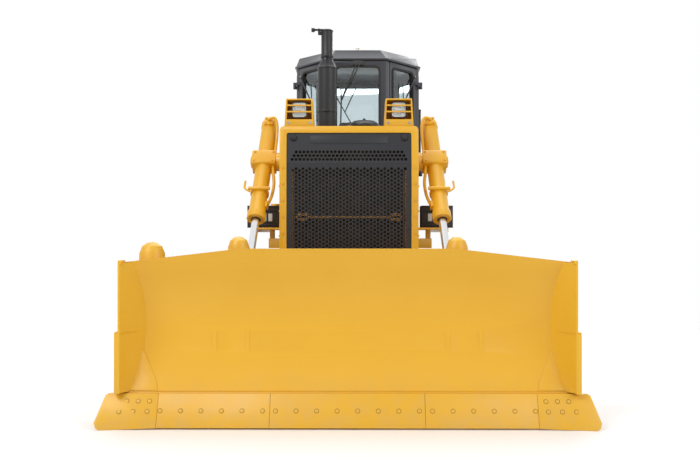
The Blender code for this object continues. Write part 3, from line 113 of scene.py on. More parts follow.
def node(tree, kind, **settings):
    """A new node with some of its settings or input values set."""
    made = tree.nodes.new(kind)
    for key, value in settings.items():
        if hasattr(made, key):
            setattr(made, key, value)
        else:
            made.inputs[key.replace("_", " ")].default_value = value
    return made


def object_noise(tree, scale_socket, detail=4.0):
    """Noise on object coordinates, with its scale from a socket."""
    place = node(tree, "ShaderNodeTexCoord")
    noise = node(tree, "ShaderNodeTexNoise", Detail=detail)
    wire(tree, (place.outputs["Object"], noise.inputs["Vector"]), (scale_socket, noise.inputs["Scale"]))
    return noise


# %% Mottle, dust, grain and streak groups
def make_mottle():
    """Two colours mixed by a slow noise."""
    inputs = (("Light", "Color", (1, 1, 1, 1)), ("Deep", "Color", (0, 0, 0, 1)), ("Scale", "Float", 3.0),
              ("Spread", "Float", 0.25))
    group, start, end = shader_group("mottle", inputs, (("Color", "Color"), ("Mask", "Float")))
    noise = object_noise(group, start.outputs["Scale"], 6.0)
    band = node(group, "ShaderNodeMapRange", interpolation_type="SMOOTHSTEP")
    low = node(group, "ShaderNodeMath", operation="SUBTRACT")
    high = node(group, "ShaderNodeMath", operation="ADD")
    low.inputs[0].default_value = high.inputs[0].default_value = 0.5
    mix = node(group, "ShaderNodeMix", data_type="RGBA")
    wire(
        group,
        (start.outputs["Spread"], low.inputs[1]), (start.outputs["Spread"], high.inputs[1]),
        (noise.outputs["Fac"], band.inputs["Value"]),
        (low.outputs[0], band.inputs["From Min"]), (high.outputs[0], band.inputs["From Max"]),
        (band.outputs["Result"], mix.inputs["Factor"]),
        (start.outputs["Light"], mix.inputs["A"]), (start.outputs["Deep"], mix.inputs["B"]),
        (mix.outputs["Result"], end.inputs["Color"]), (band.outputs["Result"], end.inputs["Mask"]),
    )
    return group


def make_dust():
    """Pale dust that thickens from a high place down to a low one."""
    inputs = (("Color", "Color", (1, 1, 1, 1)), ("Dust", "Color", (0.45, 0.36, 0.24, 1)), ("Low", "Float", 0.0),
              ("High", "Float", 0.9), ("Amount", "Float", 0.5), ("Scale", "Float", 9.0))
    group, start, end = shader_group("ground_dust", inputs, (("Color", "Color"), ("Mask", "Float")))
    noise = object_noise(group, start.outputs["Scale"], 7.0)
    place = node(group, "ShaderNodeTexCoord")
    split = node(group, "ShaderNodeSeparateXYZ")
    fall = node(group, "ShaderNodeMapRange")
    patch = node(group, "ShaderNodeMapRange")
    patch.inputs["From Min"].default_value, patch.inputs["From Max"].default_value = 0.35, 0.7
    times = node(group, "ShaderNodeMath", operation="MULTIPLY")
    share = node(group, "ShaderNodeMath", operation="MULTIPLY")
    mix = node(group, "ShaderNodeMix", data_type="RGBA")
    wire(
        group,
        (place.outputs["Object"], split.inputs[0]), (split.outputs["Z"], fall.inputs["Value"]),
        (start.outputs["High"], fall.inputs["From Min"]), (start.outputs["Low"], fall.inputs["From Max"]),
        (noise.outputs["Fac"], patch.inputs["Value"]),
        (fall.outputs["Result"], times.inputs[0]), (patch.outputs["Result"], times.inputs[1]),
        (times.outputs[0], share.inputs[0]), (start.outputs["Amount"], share.inputs[1]),
        (share.outputs[0], mix.inputs["Factor"]),
        (start.outputs["Color"], mix.inputs["A"]), (start.outputs["Dust"], mix.inputs["B"]),
        (mix.outputs["Result"], end.inputs["Color"]), (share.outputs[0], end.inputs["Mask"]),
    )
    return group


def make_grain():
    """A fine height, from two sizes of noise."""
    group, start, end = shader_group("fine_grain", (("Scale", "Float", 200.0), ("Coarse", "Float", 12.0)),
                                     (("Height", "Float"),))
    fine = object_noise(group, start.outputs["Scale"], 2.0)
    coarse = object_noise(group, start.outputs["Coarse"], 3.0)
    add = node(group, "ShaderNodeMath", operation="MULTIPLY_ADD")
    add.inputs[1].default_value = 0.35
    wire(group, (fine.outputs["Fac"], add.inputs[0]), (coarse.outputs["Fac"], add.inputs[2]),
         (add.outputs[0], end.inputs["Height"]))
    return group


def make_streaks():
    """Scratches or runs: noise drawn out along one axis."""
    inputs = (("Stretch", "Vector", (1, 1, 1)), ("Scale", "Float", 30.0), ("Threshold", "Float", 0.6))
    group, start, end = shader_group("streaks", inputs, (("Mask", "Float"),))
    place = node(group, "ShaderNodeTexCoord")
    mapping = node(group, "ShaderNodeMapping")
    noise = node(group, "ShaderNodeTexNoise", Detail=5.0)
    edge = node(group, "ShaderNodeMapRange", interpolation_type="SMOOTHSTEP")
    above = node(group, "ShaderNodeMath", operation="ADD")
    above.inputs[1].default_value = 0.12
    wire(
        group,
        (place.outputs["Object"], mapping.inputs["Vector"]), (start.outputs["Stretch"], mapping.inputs["Scale"]),
        (mapping.outputs[0], noise.inputs["Vector"]), (start.outputs["Scale"], noise.inputs["Scale"]),
        (noise.outputs["Fac"], edge.inputs["Value"]), (start.outputs["Threshold"], edge.inputs["From Min"]),
        (start.outputs["Threshold"], above.inputs[0]), (above.outputs[0], edge.inputs["From Max"]),
        (edge.outputs["Result"], end.inputs["Mask"]),
    )
    return group


MOTTLE, DUST, GRAIN, STREAKS = make_mottle(), make_dust(), make_grain(), make_streaks()
print("shader groups:", ", ".join(group.name for group in (MOTTLE, DUST, GRAIN, STREAKS)))

# %% [markdown]
# ## Finishes
# Every finish is a Principled shader fed by the shared groups. One function builds them all from a
# short list of values: two close colours, how rough, how metallic, how dusty and how bumpy.

# %% One function for every finish
def placed(tree, group, **values):
    """A group's node in a material, with its values."""
    made = tree.nodes.new("ShaderNodeGroup")
    made.node_tree = group
    for key, value in values.items():
        made.inputs[key].default_value = value
    return made


def finish(name, light, deep, rough, metal=0.0, dust=0.0, dust_top=1.0, mottle=1.6, bump=0.04, grain=220.0,
           scratch=0.0, scratch_colour=(0.35, 0.33, 0.30), coat=0.0, coarse=9.0, spread=0.22):
    """A mottled, dusty, grained material."""
    material = bpy.data.materials.new(name)
    material.use_nodes = True
    tree = material.node_tree
    shader = tree.nodes["Principled BSDF"]
    shader.inputs["Metallic"].default_value = metal
    shader.inputs["Coat Weight"].default_value = coat
    shader.inputs["Coat Roughness"].default_value = 0.12
    base = placed(tree, MOTTLE, Light=(*light, 1), Deep=(*deep, 1), Scale=mottle, Spread=spread)
    colour = base.outputs["Color"]
    if scratch:
        marks = placed(tree, STREAKS, Stretch=(0.35, 0.35, 1.0), Scale=34.0, Threshold=1.0 - scratch)
        mix = node(tree, "ShaderNodeMix", data_type="RGBA")
        mix.inputs["B"].default_value = (*scratch_colour, 1)
        wire(tree, (marks.outputs["Mask"], mix.inputs["Factor"]), (colour, mix.inputs["A"]))
        colour = mix.outputs["Result"]
    if dust:
        layer = placed(tree, DUST, High=dust_top, Amount=dust)
        wire(tree, (colour, layer.inputs["Color"]))
        colour = layer.outputs["Color"]
    wear = node(tree, "ShaderNodeMapRange")
    wear.inputs["To Min"].default_value = max(0.02, rough - 0.07)
    wear.inputs["To Max"].default_value = min(1.0, rough + 0.07)
    height = placed(tree, GRAIN, Scale=grain, Coarse=coarse)
    relief = node(tree, "ShaderNodeBump", Strength=bump, Distance=0.002)
    wire(
        tree,
        (colour, shader.inputs["Base Color"]),
        (base.outputs["Mask"], wear.inputs["Value"]), (wear.outputs["Result"], shader.inputs["Roughness"]),
        (height.outputs["Height"], relief.inputs["Height"]), (relief.outputs["Normal"], shader.inputs["Normal"]),
    )
    return material


# %% The list of finishes
YELLOW = finish("yellow_paint", (0.760, 0.405, 0.014), (0.730, 0.380, 0.012), 0.38, dust=0.08, dust_top=0.8, coat=0.15)
BLADE_YELLOW = finish("blade_paint", (0.760, 0.415, 0.018), (0.740, 0.398, 0.015), 0.42, dust=0.20, dust_top=0.45,
                      scratch=0.12, scratch_colour=(0.72, 0.42, 0.06), coat=0.05)
CAB_PAINT = finish("cab_paint", (0.020, 0.022, 0.031), (0.014, 0.015, 0.022), 0.32, coat=0.3, dust=0.04, dust_top=2.4)
BLACK = finish("black_paint", (0.009, 0.010, 0.015), (0.006, 0.007, 0.010), 0.42, dust=0.05, dust_top=2.2)
STEEL = finish("worn_steel", (0.25, 0.23, 0.21), (0.10, 0.085, 0.07), 0.46, metal=0.85, dust=0.75, dust_top=1.3,
               mottle=7.0, bump=0.25, scratch=0.40)
IRON = finish("cast_iron", (0.045, 0.042, 0.040), (0.022, 0.020, 0.019), 0.62, metal=0.3, dust=0.4, bump=0.3, grain=120.0)
EXHAUST = finish("exhaust_black", (0.010, 0.010, 0.012), (0.007, 0.007, 0.009), 0.45, metal=0.2, bump=0.12)
RUBBER = finish("rubber", (0.012, 0.012, 0.012), (0.020, 0.019, 0.018), 0.75, bump=0.12, grain=400.0)
PLASTIC = finish("dark_plastic", (0.020, 0.020, 0.022), (0.026, 0.026, 0.028), 0.5, bump=0.15, grain=600.0)
CHROME = finish("rod_chrome", (0.80, 0.80, 0.81), (0.74, 0.74, 0.75), 0.14, metal=1.0, bump=0.0)
ZINC = finish("zinc_bolt", (0.46, 0.44, 0.40), (0.34, 0.32, 0.28), 0.34, metal=0.9, mottle=20.0)
CORE = finish("radiator_core", (0.105, 0.070, 0.042), (0.060, 0.042, 0.028), 0.6, metal=0.2, mottle=12.0)
# A darker copy of the yellow paint: painted shade, for parts that sit in shade behind the front sheet and inside the
# lamp boxes.
SHADED_YELLOW = finish("painted_shade_yellow", (0.55, 0.27, 0.04), (0.38, 0.19, 0.04), 0.55, mottle=8.0)
SEAM = finish("shadow_seam", (0.36, 0.19, 0.020), (0.28, 0.14, 0.015), 0.7)
VINYL = finish("seat_vinyl", (0.022, 0.021, 0.021), (0.015, 0.015, 0.015), 0.52, bump=0.5, grain=500.0)
REFLECTOR = finish("lamp_reflector", (0.86, 0.86, 0.84), (0.80, 0.80, 0.78), 0.22, metal=0.25, mottle=18.0)
AMBER = finish("tail_lens", (0.42, 0.02, 0.012), (0.36, 0.015, 0.010), 0.2, coat=0.5, mottle=30.0)
print(len(bpy.data.materials), "finishes so far")


# %% Glass
def glass(name, tint, rough=0.02):
    """Clear glass with a tint. Light passes straight through it to the room behind."""
    material = bpy.data.materials.new(name)
    material.use_nodes = True
    tree = material.node_tree
    shader = tree.nodes["Principled BSDF"]
    shader.inputs["Base Color"].default_value = (*tint, 1)
    shader.inputs["Roughness"].default_value = rough
    shader.inputs["IOR"].default_value = 1.45
    shader.inputs["Transmission Weight"].default_value = 1.0
    film = placed(tree, GRAIN, Scale=6.0, Coarse=2.0)
    relief = node(tree, "ShaderNodeBump", Strength=0.01, Distance=0.002)
    wire(tree, (film.outputs["Height"], relief.inputs["Height"]), (relief.outputs["Normal"], shader.inputs["Normal"]))
    return material


CAB_GLASS = glass("cab_glass", (0.73, 0.80, 0.82))
LENS_GLASS = glass("lamp_glass", (0.97, 0.98, 0.98), 0.04)
print("glass:", CAB_GLASS.name, LENS_GLASS.name)

# %% [markdown]
# ## Making shapes
# Most fittings are one of four shapes: a flat outline given a thickness, a turned profile, a tube
# along a path, or a block. Each helper adds its shape to a mesh being built, and `made` turns that
# mesh into a finished piece, with a small bevel so that its edges catch the light.

# %% Shape helpers
def new_faces(bm, rings, closed_ring=False, caps=True):
    """Skins rows of vertices, in order, and closes the ends."""
    pairs = list(zip(rings, rings[1:]))
    if closed_ring:
        pairs.append((rings[-1], rings[0]))
    for lower, upper in pairs:
        count = max(len(lower), len(upper))
        for k in range(count):
            n = (k + 1) % count
            corners = [lower[k % len(lower)], lower[n % len(lower)], upper[n % len(upper)], upper[k % len(upper)]]
            unique = list(dict.fromkeys(corners))
            if len(unique) > 2:
                bm.faces.new(unique)
    if caps and not closed_ring:
        for ring in (rings[0], rings[-1]):
            if len(ring) > 2:
                bm.faces.new(ring)


def axes_for(direction):
    """Two unit vectors across a direction."""
    way = Vector(direction).normalized()
    side = way.orthogonal().normalized()
    return way, side, way.cross(side)


def add_turned(bm, profile, centre, direction=(0, 0, 1), segments=32, closed_ring=False):
    """Turns (radius, distance) pairs round a direction through a centre."""
    way, side, up = axes_for(direction)
    rings = []
    for radius, along in profile:
        middle = Vector(centre) + way * along
        if radius == 0:
            rings.append([bm.verts.new(middle)])
            continue
        angles = (2 * math.pi * k / segments for k in range(segments))
        rings.append([bm.verts.new(middle + (side * math.cos(a) + up * math.sin(a)) * radius) for a in angles])
    new_faces(bm, rings, closed_ring)


def add_rod(bm, start, end, radius, segments=20):
    """A round bar between two points, its ends slightly broken."""
    run = Vector(end) - Vector(start)
    edge = min(radius * 0.15, run.length * 0.2, 0.003)
    profile = ((radius - edge, 0), (radius, edge), (radius, run.length - edge), (radius - edge, run.length))
    add_turned(bm, profile, start, run, segments)


def add_box(bm, x, y, z, turn=None):
    """A block between two values on each axis, and its own turn about its middle."""
    middle = Vector((sum(x) / 2, sum(y) / 2, sum(z) / 2))
    half = Vector((abs(x[1] - x[0]) / 2, abs(y[1] - y[0]) / 2, abs(z[1] - z[0]) / 2))
    matrix = Matrix.Translation(middle) @ (turn or Matrix.Identity(4)) @ Matrix.Diagonal((*(half * 2), 1))
    bmesh.ops.create_cube(bm, size=1, matrix=matrix)


def add_slab(bm, outline, place, thickness):
    """A flat outline in a plane's own (x, y), given a thickness along the plane's z."""
    rings = [[bm.verts.new(place @ Vector((px, py, h))) for px, py in outline] for h in (0, thickness)]
    new_faces(bm, rings)


def smooth_path(points, steps=6):
    """A rounded path through some points."""
    points = [Vector(p) for p in points]
    path = []
    for k in range(len(points) - 1):
        before = points[max(k - 1, 0)]
        start, end = points[k], points[k + 1]
        after = points[min(k + 2, len(points) - 1)]
        for i in range(steps):
            t = i / steps
            path.append(0.5 * (
                2 * start + (end - before) * t + (2 * before - 5 * start + 4 * end - after) * t ** 2
                + (3 * start - before - 3 * end + after) * t ** 3
            ))
    return path + [points[-1]]


def add_tube(bm, points, radius, segments=12, steps=6):
    """A round tube along a rounded path."""
    path = smooth_path(points, steps) if steps > 1 else [Vector(p) for p in points]
    way, side, up = axes_for(path[1] - path[0])
    rings = []
    for k, point in enumerate(path):
        ahead = (path[min(k + 1, len(path) - 1)] - path[max(k - 1, 0)]).normalized()
        side = (side - ahead * side.dot(ahead)).normalized()
        up = ahead.cross(side)
        angles = (2 * math.pi * i / segments for i in range(segments))
        rings.append([bm.verts.new(point + (side * math.cos(a) + up * math.sin(a)) * radius) for a in angles])
    new_faces(bm, rings)


def rounded_outline(x, y, radius, steps=5):
    """A rectangle's corners as arcs, anticlockwise."""
    points = []
    for cx, cy, first in ((x[1], y[1], 0), (x[0], y[1], 90), (x[0], y[0], 180), (x[1], y[0], 270)):
        mx = cx - radius if cx == x[1] else cx + radius
        my = cy - radius if cy == y[1] else cy + radius
        for k in range(steps + 1):
            a = math.radians(first + 90 * k / steps)
            points.append((mx + radius * math.cos(a), my + radius * math.sin(a)))
    return points


def add_rim(bm, x, y, radius, width, place, thickness):
    """A frame round a rounded rectangle."""
    outer = rounded_outline((x[0] - width, x[1] + width), (y[0] - width, y[1] + width), radius + width)
    inner = rounded_outline(x, y, radius)
    rows = [[bm.verts.new(place @ Vector((px, py, h))) for px, py in line]
            for line, h in ((inner, 0), (inner, thickness), (outer, thickness), (outer, 0))]
    new_faces(bm, rows, closed_ring=True)


def upright(x=0.0, y=0.0, z=0.0, heading=0.0):
    """A plane that stands up and faces -Y: its x is across, its y is up, and its z comes forward."""
    return Matrix.Translation((x, y, z)) @ Matrix.Rotation(heading, 4, "Z") @ Matrix.Rotation(math.pi / 2, 4, "X")


# %% Finished pieces
def smoothed(mesh, angle=35):
    """Smooth shading that keeps its sharp edges."""
    mesh.shade_smooth()
    mesh.set_sharp_from_angle(angle=math.radians(angle))


def bevelled(mesh, width, segments=2, angle=30):
    """A copy of a mesh with its edges rounded."""
    host = bpy.data.objects.new("host", mesh)
    bpy.context.scene.collection.objects.link(host)
    bevel = host.modifiers.new("edges", "BEVEL")
    bevel.width = width
    bevel.segments = segments
    bevel.limit_method = "ANGLE"
    bevel.angle_limit = math.radians(angle)
    result = bpy.data.meshes.new_from_object(host.evaluated_get(bpy.context.evaluated_depsgraph_get()))
    bpy.data.objects.remove(host)
    return result


SLOTS = {
    "machine_paint": (YELLOW, BLADE_YELLOW, SEAM), "black_paint": (BLACK, RUBBER, PLASTIC, CORE, SHADED_YELLOW),
    "worn_steel": (STEEL, ZINC), "cast_iron": (IRON, EXHAUST), "cab_paint": (CAB_PAINT, CAB_GLASS),
    "rod_chrome": (CHROME, REFLECTOR, LENS_GLASS, AMBER), "seat_vinyl": (VINYL,),
}
SLOT_OF = {material.name: slot for slot, several in SLOTS.items() for material in several}


def made(name, bm, material, body="root", bevel=0.0, angle=35):
    """A finished piece that rides on a body."""
    bmesh.ops.recalc_face_normals(bm, faces=bm.faces)
    mesh = bpy.data.meshes.new(name)
    bm.to_mesh(mesh)
    bm.free()
    if bevel:
        mesh = bevelled(mesh, bevel)
        mesh.name = name
    smoothed(mesh, angle)
    mesh.materials.clear()
    mesh.materials.append(material)
    obj = bpy.data.objects.new(name, mesh)
    bpy.context.scene.collection.objects.link(obj)
    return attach(obj, body)


print("helpers ready for", len(SLOTS), "slots")

# %% [markdown]
# ## Rounding the plate work
# A welded machine has no knife edges: plate is cut, ground and painted, and each edge shows a thin
# bright line. The frame's pieces are sharp, so a merged copy of each gets a small bevel and takes
# its place. Doing all of them in one loop keeps one rule for the whole machine.

# %% Rounded copies of the frame's pieces
NODE_FINISH = {
    "main_frame": YELLOW, "drawbar": YELLOW, "engine_block": IRON, "radiator": CORE, "radiator_guard": YELLOW,
    "hood": YELLOW, "air_cleaner": BLACK, "fuel_tank": YELLOW, "oil_tank": YELLOW, "cab_base": CAB_PAINT,
    "cab_front": CAB_PAINT, "cab_rear": CAB_PAINT, "cab_roof": CAB_PAINT, "seat_frame": PLASTIC,
    "dashboard": PLASTIC, "moldboard": BLADE_YELLOW, "cutting_edge": BLADE_YELLOW, "end_bit_left": BLADE_YELLOW,
    "end_bit_right": BLADE_YELLOW, "brace_left": YELLOW, "tilt_barrel": YELLOW, "tilt_rod": CHROME,
    "rain_cap": EXHAUST,
}
SIDE_FINISH = {
    "track": STEEL, "sprocket": STEEL, "idler": IRON, "track_frame": YELLOW, "deck": YELLOW, "deck_box": BLACK,
    "deck_box_lid": BLACK, "headlamp": YELLOW, "trunnion_sleeve": STEEL, "push_arm": YELLOW,
    "cab_door": CAB_PAINT, "engine_door": YELLOW,
}
BEVELS = {"moldboard": 0.004, "radiator_guard": 0.006, "hood": 0.004, "push_arm": 0.005, "main_frame": 0.005,
          "fuel_tank": 0.006, "cab_roof": 0.010, "cab_rear": 0.004, "cab_front": 0.004, "headlamp": 0.002,
          "rain_cap": 0.0008, "deck_box_lid": 0.002, "engine_door": 0.002, "track": 0.002, "sprocket": 0.002}
UNROUNDED = ("idler", "trunnion_sleeve", "air_cleaner", "tilt_rod")
for stem, material in SIDE_FINISH.items():
    for side_name, _ in SIDES:
        NODE_FINISH[f"{stem}_{side_name}"] = material


def stem_of(name):
    """A node's name without its side."""
    return name.rsplit("_", 1)[0] if name.endswith(("_left", "_right")) else name


def merged_copy(name):
    """A node's surface as a bmesh, its loose triangles joined and its flat faces whole."""
    bm = bmesh.new()
    bm.from_mesh(frame["nodes"][name].data)
    for layer in list(bm.loops.layers.float_vector):
        bm.loops.layers.float_vector.remove(layer)
    bmesh.ops.remove_doubles(bm, verts=bm.verts, dist=0.00002)
    bmesh.ops.dissolve_limit(bm, angle_limit=math.radians(0.6), verts=bm.verts, edges=bm.edges)
    return bm


for name, material in NODE_FINISH.items():
    stem = stem_of(name)
    width = 0 if stem in UNROUNDED else BEVELS.get(stem, 0.003)
    copy = made(f"{name}_shell", merged_copy(name), material, frame["nodes"][name]["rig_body"], width)
    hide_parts(name)
print(len(NODE_FINISH), "pieces rounded")

# %% [markdown]
# ## Studio
# A pale floor and soft light from large lamps, at a level where a colour renders about as it is
# written. The background is white only to the camera, to reflections and through glass, so that
# it adds no light to the machine.

# %% Floor, world and lamps
def backdrop_shader(tree, plain, output):
    """A surface that shows white to the camera and stays plain for the light that it gives."""
    path = node(tree, "ShaderNodeLightPath")
    seen = node(tree, "ShaderNodeMath", operation="MAXIMUM")
    through = node(tree, "ShaderNodeMath", operation="MAXIMUM")
    white = node(tree, "ShaderNodeBackground" if output == "world" else "ShaderNodeEmission", Strength=1.0)
    white.inputs["Color"].default_value = (1, 1, 1, 1)
    mix = node(tree, "ShaderNodeMixShader")
    seen_factor = through.outputs[0]
    wire(
        tree,
        (path.outputs["Is Camera Ray"], seen.inputs[0]), (path.outputs["Is Glossy Ray"], seen.inputs[1]),
        (seen.outputs[0], through.inputs[0]), (path.outputs["Is Transmission Ray"], through.inputs[1]),
        (seen_factor, mix.inputs["Fac"]), (plain.outputs[0], mix.inputs[1]), (white.outputs[0], mix.inputs[2]),
    )
    return mix, seen_factor


world = bpy.data.worlds.new("studio")
world.use_nodes = True
bpy.context.scene.world = world
sky = world.node_tree.nodes["Background"]
sky.inputs["Color"].default_value = (0.93, 0.96, 1.0, 1)
sky.inputs["Strength"].default_value = 0.42
mixed, _ = backdrop_shader(world.node_tree, sky, "world")
wire(world.node_tree, (mixed.outputs[0], world.node_tree.nodes["World Output"].inputs["Surface"]))

FLOOR_HALF = 30.0
floor_mesh = bmesh.new()
bmesh.ops.create_grid(floor_mesh, x_segments=1, y_segments=1, size=FLOOR_HALF)
floor_data = bpy.data.meshes.new("floor")
floor_mesh.to_mesh(floor_data)
floor_mesh.free()
floor = bpy.data.objects.new("floor", floor_data)
bpy.context.scene.collection.objects.link(floor)
floor_paint = bpy.data.materials.new("floor_paint")
floor_paint.use_nodes = True
floor_shader = floor_paint.node_tree.nodes["Principled BSDF"]
floor_shader.inputs["Base Color"].default_value = (0.93, 0.93, 0.93, 1)
floor_shader.inputs["Roughness"].default_value = 0.9
floor_shader.inputs["Specular IOR Level"].default_value = 0.1
floor_data.materials.append(floor_paint)
CLEAR_FLOOR = (3.2, 7.5)     # the floor turns plain white between these distances from the machine
tree = floor_paint.node_tree
mixed, seen_factor = backdrop_shader(tree, floor_shader, "floor")
place = node(tree, "ShaderNodeTexCoord")
far = node(tree, "ShaderNodeVectorMath", operation="LENGTH")
fade = node(tree, "ShaderNodeMapRange", interpolation_type="SMOOTHSTEP")
fade.inputs["From Min"].default_value, fade.inputs["From Max"].default_value = CLEAR_FLOOR
share = node(tree, "ShaderNodeMath", operation="MULTIPLY")
wire(
    tree,
    (place.outputs["Object"], far.inputs[0]), (far.outputs["Value"], fade.inputs["Value"]),
    (fade.outputs["Result"], share.inputs[0]), (seen_factor, share.inputs[1]),
    (share.outputs[0], mixed.inputs["Fac"]),
    (mixed.outputs[0], tree.nodes["Material Output"].inputs["Surface"]),
)


def lamp(name, place, aim, size, watts, colour=(1, 1, 1)):
    """A large soft lamp that points at a place."""
    light = bpy.data.lights.new(name, "AREA")
    light.shape = "RECTANGLE"
    light.size, light.size_y = size
    light.energy = watts
    light.color = colour
    obj = bpy.data.objects.new(name, light)
    obj.location = place
    obj.rotation_euler = (Vector(aim) - Vector(place)).to_track_quat("-Z", "Y").to_euler()
    bpy.context.scene.collection.objects.link(obj)


lamp("key", (-6.5, -9.0, 9.0), (0, 0, 1.2), (7, 6), 760, (1.0, 0.985, 0.96))
lamp("fill", (8.0, -8.0, 6.0), (0, 0, 1.2), (7, 6), 380, (0.97, 0.98, 1.0))
lamp("top", (0.0, 2.0, 10.5), (0, 0, 0), (9, 9), 620)
lamp("rear", (3.0, 11.0, 7.0), (0, 0, 1.5), (8, 5), 560)
bpy.context.scene.view_settings.view_transform = "Standard"
print("studio: floor", FLOOR_HALF * 2, "m square,", len(bpy.data.lights), "lamps")

# %% [markdown]
# ## Bolts, in rows and rings
# Hundreds of bolts hold a machine like this together. Geometry Nodes make them: a line or a circle
# of points, one bolt on each, realized into plain mesh. A bolt is a washer, a six-sided head and a
# small chamfer. The tree has named inputs, and one function fills them for every row.

# %% A small kit for Geometry Nodes
def node_tree(name, inputs):
    """A Geometry Nodes tree with its sockets: (label, kind, value)."""
    tree = bpy.data.node_groups.new(name, "GeometryNodeTree")
    tree.interface.new_socket("Geometry", in_out="INPUT", socket_type="NodeSocketGeometry")
    for label, kind, value in inputs:
        socket = tree.interface.new_socket(label, in_out="INPUT", socket_type=f"NodeSocket{kind}")
        if value is not None:
            socket.default_value = value
    tree.interface.new_socket("Geometry", in_out="OUTPUT", socket_type="NodeSocketGeometry")
    return tree, tree.nodes.new("NodeGroupInput"), tree.nodes.new("NodeGroupOutput")


def ended(tree, geometry, start, end):
    """Realizes instances, sets the material and closes the tree."""
    real = tree.nodes.new("GeometryNodeRealizeInstances")
    paint = tree.nodes.new("GeometryNodeSetMaterial")
    wire(tree, (geometry, real.inputs[0]), (real.outputs[0], paint.inputs["Geometry"]),
         (start.outputs["Material"], paint.inputs["Material"]), (paint.outputs[0], end.inputs[0]))


def grown(tree, host_mesh, **values):
    """The plain mesh that a tree makes on a host, with its inputs set by their identifiers."""
    host = bpy.data.objects.new("grower", host_mesh)
    bpy.context.scene.collection.objects.link(host)
    modifier = host.modifiers.new("grow", "NODES")
    identifiers = {item.name: item.identifier for item in tree.interface.items_tree if item.in_out == "INPUT"}
    modifier.node_group = tree
    for label, value in values.items():
        modifier[identifiers[label.replace("_", " ")]] = value
    host.update_tag()
    mesh = bpy.data.meshes.new_from_object(host.evaluated_get(bpy.context.evaluated_depsgraph_get()))
    host.modifiers.remove(modifier)
    bpy.data.objects.remove(host)
    return mesh


def joined(meshes):
    """Several meshes in one bmesh."""
    bm = bmesh.new()
    for mesh in meshes:
        bm.from_mesh(mesh)
    return bm


def settled(name, bm, material, body="root", angle=35):
    """A finished piece from faces that already point outwards."""
    mesh = bpy.data.meshes.new(name)
    bm.to_mesh(mesh)
    bm.free()
    smoothed(mesh, angle)
    mesh.materials.clear()
    mesh.materials.append(material)
    obj = bpy.data.objects.new(name, mesh)
    bpy.context.scene.collection.objects.link(obj)
    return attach(obj, body)


# %% The bolt tree
def bolt_parts(tree, start):
    """A washer, a head and a chamfer, joined: the geometry socket of one bolt along +Z."""
    radius, height = start.outputs["Radius"], start.outputs["Height"]
    join = tree.nodes.new("GeometryNodeJoinGeometry")
    for kind, wide, tall, lift, sides in (
        ("washer", 1.45, 0.35, 0.175, 16), ("head", 1.0, 1.25, 0.9, 6), ("chamfer", 0.84, 0.12, 1.55, 6),
    ):
        across = node(tree, "ShaderNodeMath", operation="MULTIPLY")
        deep = node(tree, "ShaderNodeMath", operation="MULTIPLY")
        high = node(tree, "ShaderNodeMath", operation="MULTIPLY")
        across.inputs[1].default_value, deep.inputs[1].default_value, high.inputs[1].default_value = wide, tall, lift
        shape = tree.nodes.new("GeometryNodeMeshCylinder")
        shape.name = kind
        shape.inputs["Vertices"].default_value = sides
        place = tree.nodes.new("ShaderNodeCombineXYZ")
        move = tree.nodes.new("GeometryNodeTransform")
        wire(
            tree,
            (radius, across.inputs[0]), (height, deep.inputs[0]), (height, high.inputs[0]),
            (across.outputs[0], shape.inputs["Radius"]), (deep.outputs[0], shape.inputs["Depth"]),
            (high.outputs[0], place.inputs["Z"]), (shape.outputs["Mesh"], move.inputs["Geometry"]),
            (place.outputs[0], move.inputs["Translation"]), (move.outputs[0], join.inputs[0]),
        )
    return join.outputs[0]


def make_bolt_tree():
    """Bolts on the host's points, all facing one way."""
    tree, start, end = node_tree("bolts_on_points", (
        ("Radius", "Float", 0.012), ("Height", "Float", 0.010), ("Facing", "Rotation", None), ("Material", "Material", None),
    ))
    points = tree.nodes.new("GeometryNodeInstanceOnPoints")
    wire(tree, (start.outputs["Geometry"], points.inputs["Points"]), (bolt_parts(tree, start), points.inputs["Instance"]),
         (start.outputs["Facing"], points.inputs["Rotation"]))
    ended(tree, points.outputs[0], start, end)
    return tree


BOLTS = make_bolt_tree()


def facing(direction):
    """The turn that takes +Z to a direction."""
    return Vector(direction).to_track_quat("Z", "Y").to_euler()


def points_mesh(points):
    """A mesh of loose points."""
    mesh = bpy.data.meshes.new("points")
    mesh.from_pydata([tuple(p) for p in points], [], [])
    return mesh


def row(start, step, count):
    """Evenly spaced places."""
    return [Vector(start) + Vector(step) * k for k in range(count)]


def ring(centre, direction, radius, count, first=0.0):
    """Places round a circle."""
    _, side, up = axes_for(direction)
    angles = (first + 2 * math.pi * k / count for k in range(count))
    return [Vector(centre) + (side * math.cos(a) + up * math.sin(a)) * radius for a in angles]


def bolts(name, groups, radius, height, material, body="root"):
    """Bolts at several groups of (places, direction)."""
    meshes = [
        grown(BOLTS, points_mesh(places), Radius=radius, Height=height, Facing=facing(way), Material=material)
        for places, way in groups
    ]
    piece = settled(name, joined(meshes), material, body)
    print(name, sum(len(places) for places, _ in groups), "bolts")
    return piece


# %% [markdown]
# ## The pierced front sheet
# Air reaches the radiator through a black sheet with staggered round holes. It is pierced for real:
# the tree puts a circle on each point, fills the sheet's outline around them and gives the result a
# thickness, so light and the radiator's core show through.

